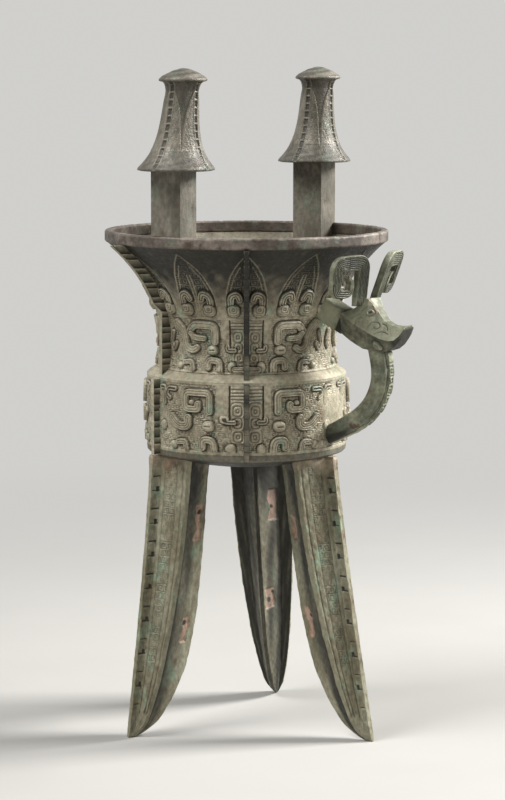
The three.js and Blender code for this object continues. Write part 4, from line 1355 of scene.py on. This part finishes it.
def face_relief(r, z):
    """The carved face, seen from its side."""
    face = Relief(r, z, ground=False)
    # The face is painted pale: a painted highlight on the upper facet
    face.tone = 0.7 * drift(r, z, 6, 1.0) + 3.2
    for route in (
        [(107.5, 338.2), (112, 341), (117, 345.2), (120.6, 348), (124.6, 347.2), (127.6, 342)],
        [(111.6, 333.4), (111.8, 338), (115.6, 340), (118.4, 337.6), (116.6, 334.6), (114.2, 336.2)],
        [(121, 331), (124.4, 336), (129, 335.6), (131, 332.4), (128, 330.2), (126.2, 332.6)],
        [(131.5, 334.4), (135.4, 332.8), (136.6, 329.6)],
        [(127.6, 326.8), (133, 329.2), (138, 327)],
    ):
        face.line(rounded(route, 3), 0.24, -0.45)
    from_eye = np.hypot(r - EYE_RADIUS, z - EYE_HEIGHT)
    face.lay(smoothstep(2.6, 2.1, from_eye), 1.1, 1.2)
    face.lay(smoothstep(0.6, 0.2, np.abs(from_eye - 2.7)), -0.3, -0.6)
    face.lay(smoothstep(1.4, 0.9, from_eye), 0.6, -0.7)
    return face


def cheek_relief(r, w):
    """The jaw below the cheek edge, with a curled boss at the corner of the mouth."""
    cheek = Relief(r, w, ground=False)
    # The jaw is painted darker than the face, most towards the muzzle: painted shade on the lower facet
    cheek.tone = 0.2 * drift(r, w, 7, 2.0) - 0.4 - 0.5 * smoothstep(136, 144, r)
    middle = (129.6, 7.6)
    half_r, half_w = 3.7, 3.6
    cheek.boss(middle, half_r, half_w, 2.4, power=2.0)
    curl = smoothstep(1, 0.8, np.hypot((r - middle[0]) / half_r, (w - middle[1]) / half_w))
    cheek.rings(curl, [middle], 2.4)
    cheek.tone = cheek.tone + 1.2 * curl
    return cheek


eye = face_relief(np.array([EYE_RADIUS]), np.array([EYE_HEIGHT]))
print("the eye's middle stands", round(float(eye.height[0]), 1), "mm high")

# %% Animal head
HEAD_COLUMNS = (10, 34, 26, 10)

# Edges of the half section that follow its flat ridge
FACE, JAW, CHIN = 1, 2, 3


def head_place(u, v):
    """Wraps the grid round the head's section, ridge first."""
    r = HEAD_STATIONS[0, 0] + (HEAD_STATIONS[-1, 0] - HEAD_STATIONS[0, 0]) * v
    top, top_half, cheek, cheek_half, chin, chin_half = (
        np.interp(r, HEAD_STATIONS[:, 0], HEAD_STATIONS[:, k]) for k in range(1, 7))
    part, along, side = round_section(u, HEAD_COLUMNS)
    corners = [(0 * r, top), (top_half, top), (cheek_half, cheek), (chin_half, chin), (0 * r, chin)]
    y0, z0, y_run, z_run = edge_runs(corners, part)
    width = np.hypot(y_run, z_run)
    face = face_relief(r, z0 + z_run * along)
    jaw = cheek_relief(r, along * width)
    height = np.select([part == FACE, part == JAW], [face.height, jaw.height], 0.0)
    # The chin is painted dark towards the muzzle: painted shade under the snout
    tone = np.select([part == FACE, part == JAW, part == CHIN],
                     [face.tone, jaw.tone, -0.1 - 0.9 * smoothstep(132, 140, r)], 0.1)
    shift = height / np.maximum(width, 0.1)
    y = y0 + y_run * along - z_run * shift
    z = z0 + z_run * along + y_run * shift
    return np.stack([r, side * y, z], axis=1), {"relief": tone}


head = relief_sheet("animal_head_cast", 2 * sum(HEAD_COLUMNS), 120, head_place, wrap=True, caps=True)
head.data.set_sharp_from_angle(angle=math.radians(40))
finish(head, handle_bronze, "bronze_handle", "animal_head")

# %% [markdown]
# ## Camera
# The camera stands where the photographer stood: a long lens at just over two metres, a little above the
# rim. Its focal length could be guessed, but here it is worked out in pixels of the picture, like the drop
# and the turn of its line of sight, so that every measured point falls where it was measured.

# %% Camera
CAMERA_AZIMUTH = -56.0
CAMERA_RANGE = 2200.0
CAMERA_HEIGHT = 546.0
SENSOR_HEIGHT = 36.0
FOCAL_PIXELS = 2750.0
IMAGE_HEIGHT = 800.0
SIGHT_DROP = 351.25
AXIS_OFFSET = 6.0

camera_data = bpy.data.cameras.new("studio_camera")
camera_data.sensor_fit = "VERTICAL"
camera_data.sensor_height = SENSOR_HEIGHT
camera_data.lens = SENSOR_HEIGHT * FOCAL_PIXELS / IMAGE_HEIGHT
camera_data.clip_end = 50
camera = bpy.data.objects.new("studio_camera", camera_data)
turn = math.radians(CAMERA_AZIMUTH)
camera.location = ((AXIS_X + CAMERA_RANGE * math.cos(turn)) * MM, CAMERA_RANGE * math.sin(turn) * MM,
                   CAMERA_HEIGHT * MM)
pitch = math.atan2(SIGHT_DROP, FOCAL_PIXELS)
yaw = math.radians(CAMERA_AZIMUTH + 90) - math.atan2(AXIS_OFFSET, FOCAL_PIXELS)
camera.rotation_euler = (math.pi / 2 - pitch, 0, yaw)
bpy.context.scene.collection.objects.link(camera)
bpy.context.scene.camera = camera
print("lens of", round(camera_data.lens, 1), "mm")

# %% [markdown]
# ## Floor and backdrop
# The vessel stands on matt pale paper that seems to run on for ever. A curved sheet would do it, but it
# shows its bend from other sides. Here a flat floor fades into the world's own colour, on the rays by which
# they are seen only, so neither adds light to the bronze and the floor keeps its shadow.

# %% Floor and backdrop
BACKDROP = "#e6e5e2"
BACKDROP_LEVEL = 0.8
AIR_LIGHT = 0.15
FLOOR_HALF = 8.0
FADE_FROM = 0.3
FADE_TO = 1.5


def seen_rays(tree):
    """1 on the rays by which the surroundings are seen: straight, mirrored or through glass."""
    rays = add_node(tree, "ShaderNodeLightPath", {}).outputs
    mirrored = add_node(tree, "ShaderNodeMath", {0: rays["Is Camera Ray"], 1: rays["Is Glossy Ray"]},
                        operation="MAXIMUM")
    seen = add_node(tree, "ShaderNodeMath", {0: mirrored.outputs[0], 1: rays["Is Transmission Ray"]},
                    operation="MAXIMUM")
    return seen.outputs[0]


def studio_paper():
    """Matt studio paper: a pale warm grey with a faint unevenness, which fades into the backdrop far away."""
    material = bpy.data.materials.new("matt_studio_paper")
    material.use_nodes = True
    tree = material.node_tree
    shader = tree.nodes["Principled BSDF"]
    place = add_node(tree, "ShaderNodeTexCoord", {}).outputs["Object"]
    cloud = patches(tree, place, 400, 0.3, 0.7)
    tint = add_node(tree, "ShaderNodeMix", {FACTOR: cloud, FIRST: "#aeaca7", SECOND: "#b3b1ac"},
                    data_type="RGBA")
    tree.links.new(tint.outputs[MIXED], shader.inputs["Base Color"])
    shader.inputs["Roughness"].default_value = 0.9
    reach = add_node(tree, "ShaderNodeVectorMath", {0: place}, operation="LENGTH")
    far = add_node(tree, "ShaderNodeMapRange",
                   {"Value": reach.outputs["Value"], "From Min": FADE_FROM, "From Max": FADE_TO},
                   interpolation_type="SMOOTHSTEP")
    faded = add_node(tree, "ShaderNodeMath", {0: far.outputs[0], 1: seen_rays(tree)}, operation="MULTIPLY")
    glow = add_node(tree, "ShaderNodeEmission", {"Color": BACKDROP, "Strength": BACKDROP_LEVEL})
    mixed = add_node(tree, "ShaderNodeMixShader",
                     {0: faded.outputs[0], 1: shader.outputs[0], 2: glow.outputs[0]})
    tree.links.new(mixed.outputs[0], tree.nodes["Material Output"].inputs["Surface"])
    return material


bm = bmesh.new()
bmesh.ops.create_grid(bm, x_segments=1, y_segments=1, size=FLOOR_HALF)
floor_mesh = bpy.data.meshes.new("studio_floor")
bm.to_mesh(floor_mesh)
bm.free()
floor_mesh.materials.append(studio_paper())
studio_floor = bpy.data.objects.new("studio_floor", floor_mesh)
bpy.context.scene.collection.objects.link(studio_floor)

world = bpy.data.worlds.new("studio_air")
world.use_nodes = True
air = world.node_tree
level = add_node(air, "ShaderNodeMapRange",
                 {"Value": seen_rays(air), "To Min": AIR_LIGHT, "To Max": BACKDROP_LEVEL})
air.nodes["Background"].inputs["Color"].default_value = colour(BACKDROP)
air.links.new(level.outputs[0], air.nodes["Background"].inputs["Strength"])
bpy.context.scene.world = world
print("floor of", 2 * FLOOR_HALF, "m, faded out at", FADE_TO, "m")

# %% [markdown]
# ## Lamps
# A large soft lamp from the upper left is the main light, one from behind on the right draws bright edges,
# and a weak one in front opens the shadows. Suns or points would draw hard shadows in the fine relief, so
# all three are square area lamps that look at the middle of the vessel.

# %% Lamps
AIM_HEIGHT = 0.28


def soft_lamp(name, azimuth, elevation, distance, size, watts):
    """A square soft lamp that looks at the middle of the vessel."""
    data = bpy.data.lights.new(name, "AREA")
    data.size = size
    data.energy = watts
    lamp = bpy.data.objects.new(name, data)
    across = math.radians(azimuth)
    up = math.radians(elevation)
    aim = Vector((AXIS_X * MM, 0, AIM_HEIGHT))
    lamp.location = aim + distance * Vector((math.cos(up) * math.cos(across), math.cos(up) * math.sin(across),
                                             math.sin(up)))
    lamp.rotation_euler = (lamp.location - aim).to_track_quat("Z", "Y").to_euler()
    bpy.context.scene.collection.objects.link(lamp)


soft_lamp("key_left", -118, 52, 2.4, 1.0, 53)
soft_lamp("edge_right", 44, 34, 2.0, 0.7, 88)
soft_lamp("front_fill", -56, 30, 2.6, 1.2, 3)

bpy.context.scene.view_settings.view_transform = "Standard"
print("lamps:", len(bpy.data.lights))
